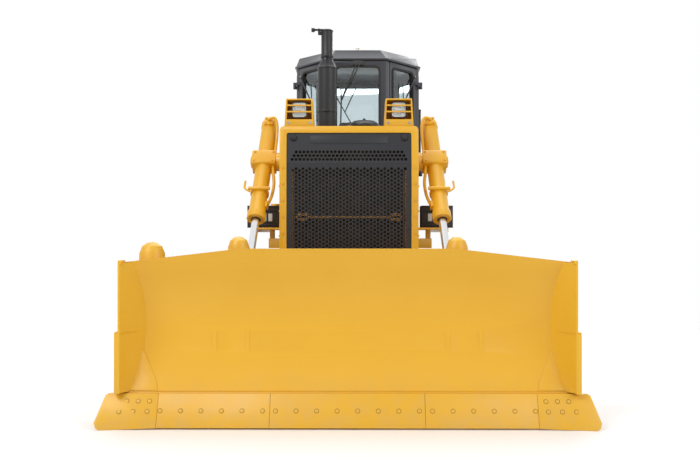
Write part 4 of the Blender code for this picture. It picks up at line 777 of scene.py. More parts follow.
# %% The piercing tree
def make_piercing_tree():
    """A flat sheet with a round hole at each of the host's points."""
    tree, start, end = node_tree("pierced_sheet", (
        ("Width", "Float", 1.0), ("Height", "Float", 0.8), ("Middle", "Vector", None), ("Hole Radius", "Float", 0.012),
        ("Thickness", "Float", 0.006), ("Material", "Material", None),
    ))
    outline = tree.nodes.new("GeometryNodeCurvePrimitiveQuadrilateral")
    place = tree.nodes.new("GeometryNodeTransform")
    circle = tree.nodes.new("GeometryNodeCurvePrimitiveCircle")
    circle.inputs["Resolution"].default_value = 10
    holes = tree.nodes.new("GeometryNodeInstanceOnPoints")
    real = tree.nodes.new("GeometryNodeRealizeInstances")
    both = tree.nodes.new("GeometryNodeJoinGeometry")
    fill = tree.nodes.new("GeometryNodeFillCurve")
    raised = tree.nodes.new("GeometryNodeExtrudeMesh")
    raised.inputs["Individual"].default_value = False
    back = tree.nodes.new("GeometryNodeFlipFaces")
    closed = tree.nodes.new("GeometryNodeJoinGeometry")
    wire(
        tree,
        (start.outputs["Width"], outline.inputs["Width"]), (start.outputs["Height"], outline.inputs["Height"]),
        (outline.outputs[0], place.inputs["Geometry"]), (start.outputs["Middle"], place.inputs["Translation"]),
        (start.outputs["Hole Radius"], circle.inputs["Radius"]),
        (start.outputs["Geometry"], holes.inputs["Points"]), (circle.outputs[0], holes.inputs["Instance"]),
        (holes.outputs[0], real.inputs[0]), (place.outputs[0], both.inputs[0]), (real.outputs[0], both.inputs[0]),
        (both.outputs[0], fill.inputs["Curve"]), (fill.outputs[0], raised.inputs["Mesh"]),
        (start.outputs["Thickness"], raised.inputs["Offset Scale"]),
        (fill.outputs[0], back.inputs[0]), (raised.outputs[0], closed.inputs[0]), (back.outputs[0], closed.inputs[0]),
    )
    ended(tree, closed.outputs[0], start, end)
    return tree


PIERCING = make_piercing_tree()
sheet_low, sheet_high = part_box("front_sheet")
guard_low, guard_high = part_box("radiator_guard")
SHEET_HALF = sheet_high.x
SHEET_FRONT = sheet_low.y
SHEET_BEND = 2.057
SHEET_PLATE = 0.006
HOLE_R = 0.0136
HOLE_COLUMNS, HOLE_STEP_X, HOLE_STEP_Z = 34, 0.030, 0.0347


def pierced(width, low, high, holes, matrix):
    """A pierced panel between two heights, taken to its place."""
    mesh = grown(
        PIERCING, points_mesh([(x, z, 0) for x, z in holes]), Width=width, Height=high - low,
        Middle=(0, (low + high) / 2, 0), Hole_Radius=HOLE_R, Thickness=SHEET_PLATE, Material=BLACK,
    )
    mesh.transform(matrix)
    return mesh


# %% Both panels of the sheet
low_holes = []
first_z = sheet_low.z + 0.030
rows = int((SHEET_BEND - first_z - 0.02) / HOLE_STEP_Z)
for column in range(HOLE_COLUMNS):
    x = (column - (HOLE_COLUMNS - 1) / 2) * HOLE_STEP_X
    shift = HOLE_STEP_Z / 2 * (column % 2)
    low_holes += [(x, first_z + shift + HOLE_STEP_Z * k) for k in range(rows)]
STRIP_Z, STRIP_STEP_X, STRIP_STEP_Z = 2.094, 0.0345, 0.033
strip_holes = []
for line, count in enumerate((30, 29, 28)):
    strip_holes += [((k - (count - 1) / 2) * STRIP_STEP_X, STRIP_Z + line * STRIP_STEP_Z) for k in range(count)]
lean = math.atan2(sheet_high.y - sheet_low.y - 0.010, sheet_high.z - SHEET_BEND)
flat_panel = upright(y=SHEET_FRONT + SHEET_PLATE)
bent_panel = Matrix.Translation((0, SHEET_FRONT + SHEET_PLATE, SHEET_BEND)) @ Matrix.Rotation(-lean, 4, "X") @ \
    Matrix.Translation((0, 0, -SHEET_BEND)) @ upright()
panels = joined([
    pierced(2 * SHEET_HALF, sheet_low.z, SHEET_BEND, low_holes, flat_panel),
    pierced(2 * SHEET_HALF, SHEET_BEND, sheet_high.z - 0.001, strip_holes, bent_panel),
])
front_sheet = settled("front_sheet_pierced", panels, BLACK)
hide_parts("front_sheet")
print("front sheet:", len(low_holes) + len(strip_holes), "holes,", len(front_sheet.data.polygons), "faces")

# %% Buffers, badge plate and what shows behind the sheet
bm = bmesh.new()
for side in (-1, 1):
    centre = bent_panel @ Vector((side * 0.49, 2.288, SHEET_PLATE))
    out = (bent_panel.to_3x3() @ Vector((0, 0, 1))).normalized()
    dome = [(0.0335 * math.cos(a), 0.022 * math.sin(a)) for a in (math.radians(15 * k) for k in range(6))]
    add_turned(bm, [(0.036, -0.002), *dome, (0, 0.022)], centre, out, 24)
made("front_buffers", bm, RUBBER)

bm = bmesh.new()
add_slab(bm, rounded_outline((-0.34, 0.34), (2.232, 2.308), 0.012), bent_panel @ Matrix.Translation((0, 0, SHEET_PLATE)), 0.003)
made("front_plate", bm, BLACK, bevel=0.001)

radiator_low, radiator_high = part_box("radiator")
bm = bmesh.new()
BAR_Z, BAR_Y = 1.587, (SHEET_FRONT + 0.03, SHEET_FRONT + 0.05)
add_box(bm, (-0.47, 0.47), BAR_Y, (BAR_Z - 0.010, BAR_Z + 0.010))
for x in (-0.415, 0.415):
    add_box(bm, (x - 0.045, x + 0.045), (BAR_Y[0], BAR_Y[0] + 0.012), (BAR_Z - 0.035, BAR_Z + 0.035))
for x in (-0.505, 0.505):
    add_box(bm, (x - 0.012, x + 0.012), (BAR_Y[0], radiator_low.y), (1.25, 2.0))
# The stays take the darker copy of the yellow, as painted shade for their place behind the sheet.
made("radiator_stays", bm, SHADED_YELLOW, bevel=0.002)

bm = bmesh.new()
SHROUD_X = 0.566
for side in (-1, 1):
    add_box(bm, sorted((side * (radiator_high.x - 0.01), side * SHROUD_X)), (radiator_low.y + 0.012, radiator_low.y + 0.016),
            (radiator_low.z, sheet_high.z))
add_box(bm, (-SHROUD_X, SHROUD_X), (radiator_low.y + 0.012, radiator_low.y + 0.016), (radiator_high.z - 0.01, sheet_high.z))
made("radiator_shroud", bm, BLACK)

bm = bmesh.new()
FIN_STEP = 0.0105
fin_count = int((radiator_high.x - radiator_low.x - 0.08) / FIN_STEP)
for k in range(fin_count):
    x = radiator_low.x + 0.05 + FIN_STEP * k
    add_box(bm, (x, x + 0.0025), (radiator_low.y - 0.008, radiator_low.y), (radiator_low.z + 0.06, radiator_high.z - 0.06))
for z in (radiator_low.z, radiator_high.z - 0.05):
    add_box(bm, (radiator_low.x, radiator_high.x), (radiator_low.y - 0.012, radiator_low.y + 0.02), (z, z + 0.05))
made("radiator_fins", bm, CORE, bevel=0.001)
print("radiator:", fin_count, "fins")

# %% [markdown]
# ## Guard, headlamps and hood
# The guard is thick plate, bolted round its window and lifted by two eyes. The headlamps sit in
# boxes on its top, each behind two bars.

# %% Bolts of the guard and the hood
hood_low, hood_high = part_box("hood")
HOOD_HALF = 0.60
GUARD_FRONT = guard_low.y
GUARD_HALF = 0.612
edge_x = (GUARD_HALF + SHEET_HALF) / 2
forward = (0, -1, 0)
bolts("guard_bolts", [
    (row((-edge_x, GUARD_FRONT, 1.30), (0, 0, 0.145), 6), forward),
    (row((edge_x, GUARD_FRONT, 1.30), (0, 0, 0.145), 6), forward),
    (row((GUARD_HALF, -1.25, 1.20), (0, 0, 0.22), 4), (1, 0, 0)),
    (row((-GUARD_HALF, -1.25, 1.20), (0, 0, 0.22), 4), (-1, 0, 0)),
], 0.010, 0.007, YELLOW)
bolts("hood_bolts", [
    (row((side * HOOD_HALF, -0.765, 1.25), (0, 0, 0.30), 4), (side, 0, 0)) for side in (-1, 1)
] + [(row((-0.50, -0.765, hood_high.z), (0.20, 0, 0), 6), (0, 0, 1))], 0.010, 0.007, YELLOW)

bm = bmesh.new()
for side in (-1, 1):
    x = side * 0.30
    points = [(x - 0.09, -0.30, hood_high.z), (x - 0.09, -0.30, hood_high.z + 0.055), (x - 0.04, -0.30, hood_high.z + 0.07),
              (x + 0.04, -0.30, hood_high.z + 0.07), (x + 0.09, -0.30, hood_high.z + 0.055), (x + 0.09, -0.30, hood_high.z)]
    add_tube(bm, points, 0.009)
for side in (-1, 1):
    x = side * (HOOD_HALF + 0.035)
    points = [(x - side * 0.035, -0.76, 2.22), (x, -0.75, 2.22), (x, -0.68, 2.22), (x, -0.16, 2.22), (x, -0.10, 2.22),
              (x - side * 0.035, -0.09, 2.22)]
    add_tube(bm, points, 0.012)
made("hood_handles", bm, YELLOW)


# %% Louvres in the engine doors
def make_louvre_tree():
    """A tilted, hooded slat on each of the host's points."""
    tree, start, end = node_tree("louvres", (
        ("Length", "Float", 0.4), ("Depth", "Float", 0.03), ("Facing", "Rotation", None), ("Material", "Material", None),
    ))
    profile = tree.nodes.new("GeometryNodeMeshCylinder")
    profile.inputs["Vertices"].default_value = 3
    turn = tree.nodes.new("GeometryNodeTransform")
    turn.inputs["Rotation"].default_value = (math.pi / 2, 0, math.pi / 2)
    points = tree.nodes.new("GeometryNodeInstanceOnPoints")
    wire(
        tree,
        (start.outputs["Depth"], profile.inputs["Radius"]), (start.outputs["Length"], profile.inputs["Depth"]),
        (profile.outputs["Mesh"], turn.inputs["Geometry"]), (turn.outputs[0], points.inputs["Instance"]),
        (start.outputs["Geometry"], points.inputs["Points"]), (start.outputs["Facing"], points.inputs["Rotation"]),
    )
    ended(tree, points.outputs[0], start, end)
    return tree


LOUVRES = make_louvre_tree()
for side_name, side in SIDES:
    low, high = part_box(f"engine_door_{side_name}")
    face_x = side * 0.600
    mid_y = (low.y + high.y) / 2 - 0.01
    slats = row((face_x, mid_y, 1.43), (0, 0, 0.052), 10)
    mesh = grown(LOUVRES, points_mesh(slats), Length=0.40, Depth=0.016, Facing=(0, 0, math.pi / 2), Material=YELLOW)
    settled(f"engine_door_louvres_{side_name}", joined([mesh]), YELLOW, f"engine_door_{side_name}")
    bolts(f"engine_door_catches_{side_name}", [
        ([(face_x, low.y + 0.05, z) for z in (1.43, 1.92)], (side, 0, 0)),
    ], 0.014, 0.010, ZINC, f"engine_door_{side_name}")

# %% Headlamps
for side_name, side in SIDES:
    low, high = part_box(f"headlamp_{side_name}")
    x = (low.x + high.x) / 2
    lens_z = (low.z + high.z) / 2 + 0.025
    lens_front = low.y + 0.035
    bm = bmesh.new()
    add_slab(bm, rounded_outline((-0.060, 0.060), (-0.063, 0.063), 0.022), upright(x, lens_front, lens_z), 0.003)
    add_turned(bm, [(0.046, 0), (0.040, 0.004), (0.018, 0.008), (0, 0.009)], (x, lens_front - 0.003, lens_z), forward, 32)
    made(f"lamp_reflector_{side_name}", bm, REFLECTOR)
    bm = bmesh.new()
    add_slab(bm, rounded_outline((-0.062, 0.062), (-0.065, 0.065), 0.024), upright(x, lens_front - 0.014, lens_z), 0.006)
    for k in range(7):
        rib = x - 0.048 + 0.016 * k
        add_rod(bm, (rib, lens_front - 0.0205, lens_z - 0.05), (rib, lens_front - 0.0205, lens_z + 0.05), 0.003, 8)
    made(f"lamp_lens_{side_name}", bm, LENS_GLASS)
    bm = bmesh.new()
    add_rim(bm, (-0.062, 0.062), (-0.065, 0.065), 0.024, 0.007, upright(x, lens_front, lens_z), 0.023)
    made(f"lamp_bezel_{side_name}", bm, RUBBER, bevel=0.001)
    bm = bmesh.new()
    for z in (2.573, 2.517):
        half = 0.118 - (z - low.z) * 0.03
        add_box(bm, (x - half, x + half), (low.y - 0.006, low.y + 0.004), (z - 0.0065, z + 0.0065))
    made(f"lamp_bars_{side_name}", bm, YELLOW, bevel=0.002)
    # A plate across the back inside the lamp box, in the darker copy of the yellow: painted shade of the box's inside.
    bm = bmesh.new()
    add_box(bm, (x - 0.108, x + 0.108), (high.y - 0.026, high.y - 0.0205), (low.z + 0.064, high.z - 0.016))
    made(f"lamp_box_shade_{side_name}", bm, SHADED_YELLOW)
    bolts(f"lamp_bolts_{side_name}", [
        ([(x - 0.095, low.y, low.z + 0.030), (x + 0.095, low.y, low.z + 0.030)], forward),
    ], 0.009, 0.006, ZINC)

# %% [markdown]
# ## Exhaust and air intake
# The muffler is a rolled can with a seam at each end and a clamp band. A turned profile follows it
# exactly, and its weighted rain cap keeps its own hinge.

# %% Exhaust stack
stack_low, stack_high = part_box("exhaust_stack")
STACK_X, STACK_Y, MUFFLER_R, PIPE_R = -0.213, -0.68, 0.088, 0.055
PIPE_TOP, CAP_LINE = 3.355, 3.367
base = stack_low.z
bm = bmesh.new()
add_turned(bm, [
    (MUFFLER_R + 0.020, 0), (MUFFLER_R + 0.020, 0.014), (MUFFLER_R + 0.016, 0.018), (MUFFLER_R, 0.020), (MUFFLER_R, 0.05),
    (MUFFLER_R + 0.004, 0.055), (MUFFLER_R + 0.004, 0.067), (MUFFLER_R, 0.072), (MUFFLER_R, 0.625),
    (MUFFLER_R + 0.004, 0.630), (MUFFLER_R + 0.004, 0.642), (MUFFLER_R - 0.002, 0.648), (MUFFLER_R - 0.012, 0.672),
    (PIPE_R + 0.006, 0.700), (PIPE_R, 0.712), (PIPE_R, PIPE_TOP - base), (PIPE_R - 0.006, PIPE_TOP - base),
    (PIPE_R - 0.006, 3.15 - base), (0, 3.15 - base),
], (STACK_X, STACK_Y, base), segments=48)
hinge_x = STACK_X - PIPE_R - 0.018
for way in (-1, 1):
    ear = ((hinge_x - 0.012, PIPE_TOP - 0.03), (STACK_X - PIPE_R + 0.004, PIPE_TOP - 0.03),
           (STACK_X - PIPE_R + 0.004, PIPE_TOP - 0.008), (hinge_x + 0.008, PIPE_TOP - 0.004),
           (hinge_x + 0.008, CAP_LINE + 0.010), (hinge_x - 0.012, CAP_LINE + 0.010))
    add_slab(bm, ear, upright(y=STACK_Y + way * 0.022 + 0.004), 0.008)
add_rod(bm, (hinge_x, STACK_Y - 0.024, CAP_LINE), (hinge_x, STACK_Y + 0.024, CAP_LINE), 0.005)
stack = made("exhaust_stack_turned", bm, EXHAUST)
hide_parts("exhaust_stack")
bm = bmesh.new()
for z in (base + 0.225, 3.115):
    r = MUFFLER_R if z < 3 else PIPE_R
    add_turned(bm, [(r, -0.012), (r + 0.004, -0.012), (r + 0.004, 0.012), (r, 0.012)], (STACK_X, STACK_Y, z), segments=48)
    add_box(bm, (STACK_X - 0.012, STACK_X + 0.012), (STACK_Y - r - 0.024, STACK_Y - r), (z - 0.010, z + 0.010))
    add_rod(bm, (STACK_X - 0.022, STACK_Y - r - 0.014, z), (STACK_X + 0.022, STACK_Y - r - 0.014, z), 0.005)
made("exhaust_clamps", bm, EXHAUST, bevel=0.001)
bolts("exhaust_flange_bolts", [(ring((STACK_X, STACK_Y, base + 0.018), (0, 0, 1), MUFFLER_R + 0.011, 8), (0, 0, 1))],
      0.005, 0.004, EXHAUST)

# %% Air cleaner band and filler cap
bm = bmesh.new()
cleaner_low, cleaner_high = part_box("air_cleaner")
CLEANER_X, CLEANER_Y = (cleaner_low.x + cleaner_high.x) / 2, (cleaner_low.y + cleaner_high.y) / 2
add_turned(bm, [(0.151, 0.100), (0.154, 0.102), (0.154, 0.112), (0.151, 0.114)], (CLEANER_X, CLEANER_Y, cleaner_low.z), segments=48)
add_turned(bm, [(0.012, 0.165), (0.014, 0.176), (0.008, 0.182), (0, 0.183)], (CLEANER_X, CLEANER_Y, cleaner_low.z), segments=20)
made("air_cleaner_band", bm, BLACK)
bm = bmesh.new()
add_turned(bm, [(0.045, 0), (0.045, 0.018), (0.040, 0.028), (0.032, 0.032), (0, 0.034)], (0.0, -1.00, guard_high.z), segments=32)
made("radiator_cap", bm, YELLOW)

# %% [markdown]
# ## Lift cylinders
# Each barrel hangs in a forged collar on the guard's side, so that it can swing as the blade rises.
# The barrel is turned round the line from its collar to the rod's eye, which the joints give.

# %% Joints by name
JOINTS = {joint["name"]: joint for joint in frame["joints"]}
LIFT_LENGTH = math.dist((0.781, -0.93, 2.10), (0.890, -1.98, 0.62))
BARREL_R, ROD_R, ABOVE, BELOW, COLLAR_HALF = 0.073, 0.034, 0.475, 0.66, 0.108


def lift_line(side_name):
    """The collar's centre and the way the rod points."""
    return Vector(JOINTS[f"lift_barrel_swing_{side_name}"]["pos_m"]), \
        Vector(JOINTS[f"lift_stroke_{side_name}"]["axis"]).normalized()


# %% Barrels with collars, ports and pipes
for side_name, side in SIDES:
    top, way = lift_line(side_name)
    body = f"lift_barrel_{side_name}"
    across = Vector((1, 0, 0))
    ahead = across.cross(way).normalized() * -1
    if ahead.y > 0:
        ahead = -ahead
    bm = bmesh.new()
    add_turned(bm, [
        (BARREL_R - 0.020, -ABOVE), (BARREL_R - 0.004, -ABOVE + 0.004), (BARREL_R + 0.006, -ABOVE + 0.016),
        (BARREL_R + 0.006, -ABOVE + 0.070), (BARREL_R, -ABOVE + 0.078), (BARREL_R, BELOW - 0.080),
        (BARREL_R + 0.010, BELOW - 0.074), (BARREL_R + 0.010, BELOW - 0.006), (BARREL_R + 0.005, BELOW),
        (ROD_R + 0.010, BELOW), (ROD_R + 0.010, BELOW - 0.03), (ROD_R + 0.0005, BELOW - 0.03), (ROD_R + 0.0005, -ABOVE + 0.02), (0, -ABOVE + 0.02),
    ], top, way, 48)
    tilt = math.atan2(way.z, way.y)
    plane = Matrix.Translation(top - across * COLLAR_HALF) @ Matrix.Rotation(tilt, 4, "X") @ \
        Matrix(((0, 0, 1, 0), (1, 0, 0, 0), (0, 1, 0, 0), (0, 0, 0, 1)))
    add_slab(bm, rounded_outline((-0.078, 0.078), (-0.088, 0.088), 0.020), plane, 2 * COLLAR_HALF)
    add_rod(bm, top - across * side * 0.05, (side * 0.577, top.y, top.z), 0.045, 32)
    shell = made(f"{body}_shell", bm, YELLOW, body, bevel=0.003)
    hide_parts(body)

    bm = bmesh.new()
    out = across * side
    add_turned(bm, [(0.058, 0), (0.058, 0.010), (0.052, 0.015), (0.030, 0.016), (0.028, 0.020), (0, 0.021)],
               top + out * COLLAR_HALF, out, 36)
    band = top + way * 0.37
    add_turned(bm, [(BARREL_R, -0.017), (BARREL_R + 0.010, -0.017), (BARREL_R + 0.010, 0.017), (BARREL_R, 0.017)], band, way, 40)
    bar = band + ahead * (BARREL_R + 0.006)
    add_rod(bm, bar - across * 0.098, bar + across * 0.098, 0.017, 20)
    handle = band - way * 0.02 + out * BARREL_R
    add_tube(bm, [handle - out * 0.01, handle + out * 0.03 - way * 0.012, handle + out * 0.066 - way * 0.040,
                  handle + out * 0.074 - way * 0.062, handle + out * 0.074 - way * 0.125], 0.0095, 12, 5)
    port = top - way * (ABOVE - 0.045) + ahead * (BARREL_R - 0.01)
    turn = way.to_track_quat("Z", "Y").to_matrix().to_4x4()
    add_box(bm, (port.x - 0.042, port.x + 0.042), (port.y - 0.030, port.y + 0.030), (port.z - 0.042, port.z + 0.042), turn)
    low_port = top + way * 0.50 - out * (BARREL_R - 0.012)
    add_box(bm, (low_port.x - 0.026, low_port.x + 0.026), (low_port.y - 0.03, low_port.y + 0.03),
            (low_port.z - 0.03, low_port.z + 0.03), turn)
    made(f"lift_fittings_{side_name}", bm, YELLOW, body, bevel=0.002)
    bolts(f"lift_port_bolts_{side_name}", [
        ([port + ahead * 0.030 + across * dx + way * dz for dx in (-0.028, 0.028) for dz in (-0.028, 0.028)], ahead),
        ([top + ahead * 0.088 + across * dx + way * dz for dx in (-0.085, 0.085) for dz in (-0.050, 0.050)], ahead),
    ], 0.0085, 0.006, YELLOW, body)

    bm = bmesh.new()
    inboard = -out
    add_tube(bm, [port + ahead * 0.025, port + ahead * 0.055 + inboard * 0.01, port + ahead * 0.060 + inboard * 0.055,
                  port + ahead * 0.03 + inboard * 0.082 + way * 0.06, port - ahead * 0.02 + inboard * 0.088 + way * 0.18,
                  top + inboard * 0.088 - way * 0.085 + ahead * 0.02], 0.014, 14)
    add_tube(bm, [top + inboard * 0.088 + way * 0.080 + ahead * 0.03, top + inboard * 0.100 + way * 0.16 + ahead * 0.035,
                  top + inboard * 0.118 + way * 0.27 + ahead * 0.02, top + inboard * 0.112 + way * 0.38,
                  low_port + inboard * 0.034 - way * 0.04, low_port + inboard * 0.022], 0.014, 14)
    made(f"lift_pipes_{side_name}", bm, YELLOW, body)
    bm = bmesh.new()
    add_turned(bm, [(ROD_R + 0.0006, -0.006), (ROD_R + 0.009, -0.006), (ROD_R + 0.006, 0.006), (ROD_R + 0.0006, 0.008)],
               top + way * BELOW, way, 36)
    made(f"lift_wiper_{side_name}", bm, RUBBER, body)

    body = f"lift_rod_{side_name}"
    eye = top + way * LIFT_LENGTH
    bm = bmesh.new()
    add_turned(bm, [(ROD_R - 0.004, LIFT_LENGTH - 1.540), (ROD_R, LIFT_LENGTH - 1.535), (ROD_R, LIFT_LENGTH - 0.10)], top, way, 48)
    rod = made(f"{body}_bar", bm, CHROME, body)
    bm = bmesh.new()
    add_turned(bm, [(0.036, LIFT_LENGTH - 0.115), (0.042, LIFT_LENGTH - 0.105), (0.042, LIFT_LENGTH - 0.060), (0.036, LIFT_LENGTH - 0.045)],
               top, way, 32)
    add_turned(bm, [(0.028, -0.030), (0.052, -0.030), (0.055, -0.026), (0.055, 0.026), (0.052, 0.030), (0.028, 0.030)],
               eye, (1, 0, 0), 36, closed_ring=True)
    made(f"{body}_eye", bm, STEEL, body)
    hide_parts(body)
print("lift cylinders done")

# %% Tilt cylinder and brace fittings
tilt_top = Vector(JOINTS["tilt_barrel_swing"]["pos_m"])
tilt_way = Vector(JOINTS["tilt_stroke"]["axis"]).normalized()
above = Vector((0, 0, 1))
above = (above - tilt_way * above.dot(tilt_way)).normalized()
bm = bmesh.new()
for along in (0.26, 0.76):
    port = tilt_top + tilt_way * along + above * 0.088
    turn = tilt_way.to_track_quat("X", "Z").to_matrix().to_4x4()
    add_box(bm, (port.x - 0.030, port.x + 0.030), (port.y - 0.026, port.y + 0.026), (port.z - 0.014, port.z + 0.014), turn)
ends = [tilt_top + tilt_way * a + above * h for a, h in ((0.76, 0.095), (0.74, 0.122), (0.66, 0.128), (0.44, 0.128), (0.32, 0.128), (0.27, 0.105))]
add_tube(bm, ends, 0.011, 12)
for along in (0.42, 0.60):
    add_turned(bm, [(0.090, -0.014), (0.096, -0.014), (0.096, 0.014), (0.090, 0.014)], tilt_top + tilt_way * along, tilt_way, 40)
made("tilt_pipes", bm, YELLOW, "tilt_barrel", bevel=0.001)
bolts("tilt_gland_bolts", [(ring(tilt_top + tilt_way * 0.86, tilt_way, 0.078, 8), tilt_way)], 0.009, 0.007, ZINC, "tilt_barrel")
brace = JOINTS["brace_swing"]
brace_top = Vector(brace["pos_m"])
brace_way = (Vector((1.50, -2.32, 1.12)) - brace_top).normalized()
brace_length = (Vector((1.50, -2.32, 1.12)) - brace_top).length
bm = bmesh.new()
for along in (0.20, brace_length - 0.30):
    add_turned(bm, [(0.045, -0.02), (0.056, -0.018), (0.056, 0.018), (0.045, 0.02)], brace_top + brace_way * along, brace_way, 6)
mid = brace_top + brace_way * (brace_length / 2)
add_tube(bm, [mid - brace_way * 0.09 + above * 0.040, mid - brace_way * 0.08 + above * 0.075, mid + brace_way * 0.08 + above * 0.075,
              mid + brace_way * 0.09 + above * 0.040], 0.009, 12)
made("brace_collars", bm, YELLOW, "brace_left", bevel=0.001)

# %% [markdown]
# ## Blade
# The moldboard is one rolled plate. Corner plates are welded across its ends, a wear plate covers
# each lower corner, and three lengths of cutting edge and two end bits are bolted on with plough
# bolts, whose heads sit flush in a countersink.

# %% The blade's face
blade_low, blade_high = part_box("moldboard")
EDGE_LOW, EDGE_TOP, EDGE_LEAN, EDGE_THICK = 0.013, 0.25, math.radians(25), 0.025
FRONT_Y, EDGE_D, FACE_SAG, FACE_TOP_D, BLADE_TOP, BLADE_HALF = -2.73, 0.0427, 0.18, 0.12, 1.33, 1.70
EDGE_HALF = 1.41
EDGE_NORMAL = Vector((0, -math.cos(EDGE_LEAN), math.sin(EDGE_LEAN)))


def face_depth(z):
    """How far the moldboard's face lies behind the blade's foremost point, at a height."""
    foot = Vector((EDGE_D + (EDGE_TOP - EDGE_LOW) * math.tan(EDGE_LEAN) + 0.012, EDGE_TOP))
    top = Vector((FACE_TOP_D, BLADE_TOP))
    half = (top - foot).length / 2
    radius = (half ** 2 + FACE_SAG ** 2) / (2 * FACE_SAG)
    middle = (foot + top) / 2
    ahead = Vector((-(top - foot).y, (top - foot).x)).normalized()
    centre = middle + ahead * (radius - FACE_SAG)
    return centre.x + math.sqrt(radius ** 2 - (z - centre.y) ** 2)


def edge_y(z, thick=EDGE_THICK):
    """The front of the cutting edge at a height."""
    return FRONT_Y + EDGE_D + (z - EDGE_LOW) * math.tan(EDGE_LEAN) + 0.0117 - thick


def corner_x(z):
    """Where a corner plate meets the face, from the machine's middle."""
    return BLADE_HALF - 0.148 * (face_depth(z) - 0.0727) / (0.33 - 0.0727)


# %% Plough bolts and seams of the cutting edge
def countersunk(name, places, normal, body):
    """Flush bolt heads: a dark ring and a slightly domed head, one mesh each."""
    rings, heads = bmesh.new(), bmesh.new()
    for place in places:
        add_turned(rings, [(0.0185, -0.002), (0.0185, 0.0006), (0.0140, 0.0008), (0.0140, -0.002)], place, normal, 20, closed_ring=True)
        add_turned(heads, [(0.0136, -0.002), (0.0136, 0.0014), (0.0100, 0.0024), (0, 0.0026)], place, normal, 20)
    made(f"{name}_rings", rings, SEAM, body)
    made(f"{name}_heads", heads, BLADE_YELLOW, body)


BOLT_Z = 0.130
BOLT_PITCH = 0.152
places = []
for first, count in ((-1.388, 6), (-3.5 * BOLT_PITCH, 8), (1.388 - 5 * BOLT_PITCH, 6)):
    places += [Vector((first + BOLT_PITCH * k, edge_y(BOLT_Z), BOLT_Z)) for k in range(count)]
countersunk("edge_bolts", places, EDGE_NORMAL, "blade")
BIT_ROWS = ((0.197, (1.639, 1.555, 1.470)), (0.126, (1.689, 1.586, 1.482)))
TREES = {}


def seat(node_name, origin, direction):
    """Where a ray from outside first meets a frame node, and that face's normal."""
    if node_name not in TREES:
        bm = merged_copy(node_name)
        TREES[node_name] = bvhtree.BVHTree.FromBMesh(bm)
        bm.free()
    place, normal, _, _ = TREES[node_name].ray_cast(Vector(origin), Vector(direction))
    return place, normal


for side_name, side in SIDES:
    places, facing_way = [], EDGE_NORMAL
    for z, row_x in BIT_ROWS:
        for x in row_x:
            found, normal = seat(f"end_bit_{side_name}", (side * x, FRONT_Y - 1, z), (0, 1, 0))
            if found is not None:
                places.append(found)
                facing_way = normal if normal.y < 0 else -normal
    countersunk(f"bit_bolts_{side_name}", places, facing_way, "blade")

bm = bmesh.new()
lean_turn = Matrix.Rotation(-EDGE_LEAN, 4, "X")
mid_z = (EDGE_LOW + EDGE_TOP) / 2
for x in (-0.575, 0.575):
    add_box(bm, (x - 0.002, x + 0.002), (edge_y(mid_z) - 0.0006, edge_y(mid_z) + 0.002), (mid_z - 0.129, mid_z + 0.129), lean_turn)
made("edge_seams", bm, SEAM, "blade")

# %% Welds and wear plates at the corners
bm = bmesh.new()
for side in (-1, 1):
    zs = [0.275 + 0.045 * k for k in range(21)]
    add_tube(bm, [(side * corner_x(z), FRONT_Y + face_depth(z) - 0.001, z) for z in zs], 0.006, 8, 3)
    add_tube(bm, [(side * (BLADE_HALF - 0.018), FRONT_Y + 0.078, 0.70), (side * (BLADE_HALF - 0.09), FRONT_Y + 0.205, 0.70),
                  (side * corner_x(0.70), FRONT_Y + face_depth(0.70) - 0.002, 0.70)], 0.004, 8, 3)
add_tube(bm, [(x, FRONT_Y + face_depth(0.262) - 0.001, 0.262) for x in (-1.60, -0.8, 0, 0.8, 1.60)], 0.005, 8, 2)
made("blade_welds", bm, BLADE_YELLOW, "blade")

PLATE_EDGE = ((0.268, 1.425), (0.330, 1.440), (0.400, 1.475), (0.480, 1.515), (0.550, 1.552))
for side_name, side in SIDES:
    bm = bmesh.new()
    rows = []
    for z, near in PLATE_EDGE:
        far = corner_x(z)
        y = FRONT_Y + face_depth(z)
        line = [(near, y - 0.009), (far - 0.004, y - 0.012), (far - 0.004, y - 0.001), (near, y - 0.001)]
        rows.append([bm.verts.new((side * x, yy, z)) for x, yy in line])
    new_faces(bm, rows)
    made(f"wear_plate_{side_name}", bm, BLADE_YELLOW, "blade", bevel=0.002)

bm = bmesh.new()
for side in (-1, 1):
    add_box(bm, (side * 1.700, side * 1.672), (FRONT_Y + 0.075, FRONT_Y + 0.20), (1.215, 1.243))
    add_box(bm, (side * 1.727, side * 1.7), (FRONT_Y + 0.08, FRONT_Y + 0.28), (0.69, 0.712))
made("blade_corner_bits", bm, BLADE_YELLOW, "blade", bevel=0.003)
print("blade done")

# %% [markdown]
# ## Cab glass
# Every pane is toughened glass in a rubber gasket. The cab's plan is an octagon with unequal sides,
# so each pane is drawn flat in its own wall, and the wall's line in plan takes it to its place.

# %% The cab's plan
base_low, base_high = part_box("cab_base")
CAB_X = (base_low.x + base_high.x) / 2
CAB_WIDE = (base_high.x - base_low.x) / 2
CAB_Y0, CAB_Y1 = base_low.y, base_high.y
CAB_FRONT_HALF, CAB_REAR_HALF, CAB_WIDE_Y, CAB_WALL = 0.29, 0.44, (0.47, 0.98), 0.045
SILL, EAVE = 1.88, 3.20
PLAN = [
    Vector((CAB_X + x, y)) for x, y in (
        (-CAB_FRONT_HALF, CAB_Y0), (CAB_FRONT_HALF, CAB_Y0), (CAB_WIDE, CAB_WIDE_Y[0]), (CAB_WIDE, CAB_WIDE_Y[1]),
        (CAB_REAR_HALF, CAB_Y1), (-CAB_REAR_HALF, CAB_Y1), (-CAB_WIDE, CAB_WIDE_Y[1]), (-CAB_WIDE, CAB_WIDE_Y[0]),
    )
]


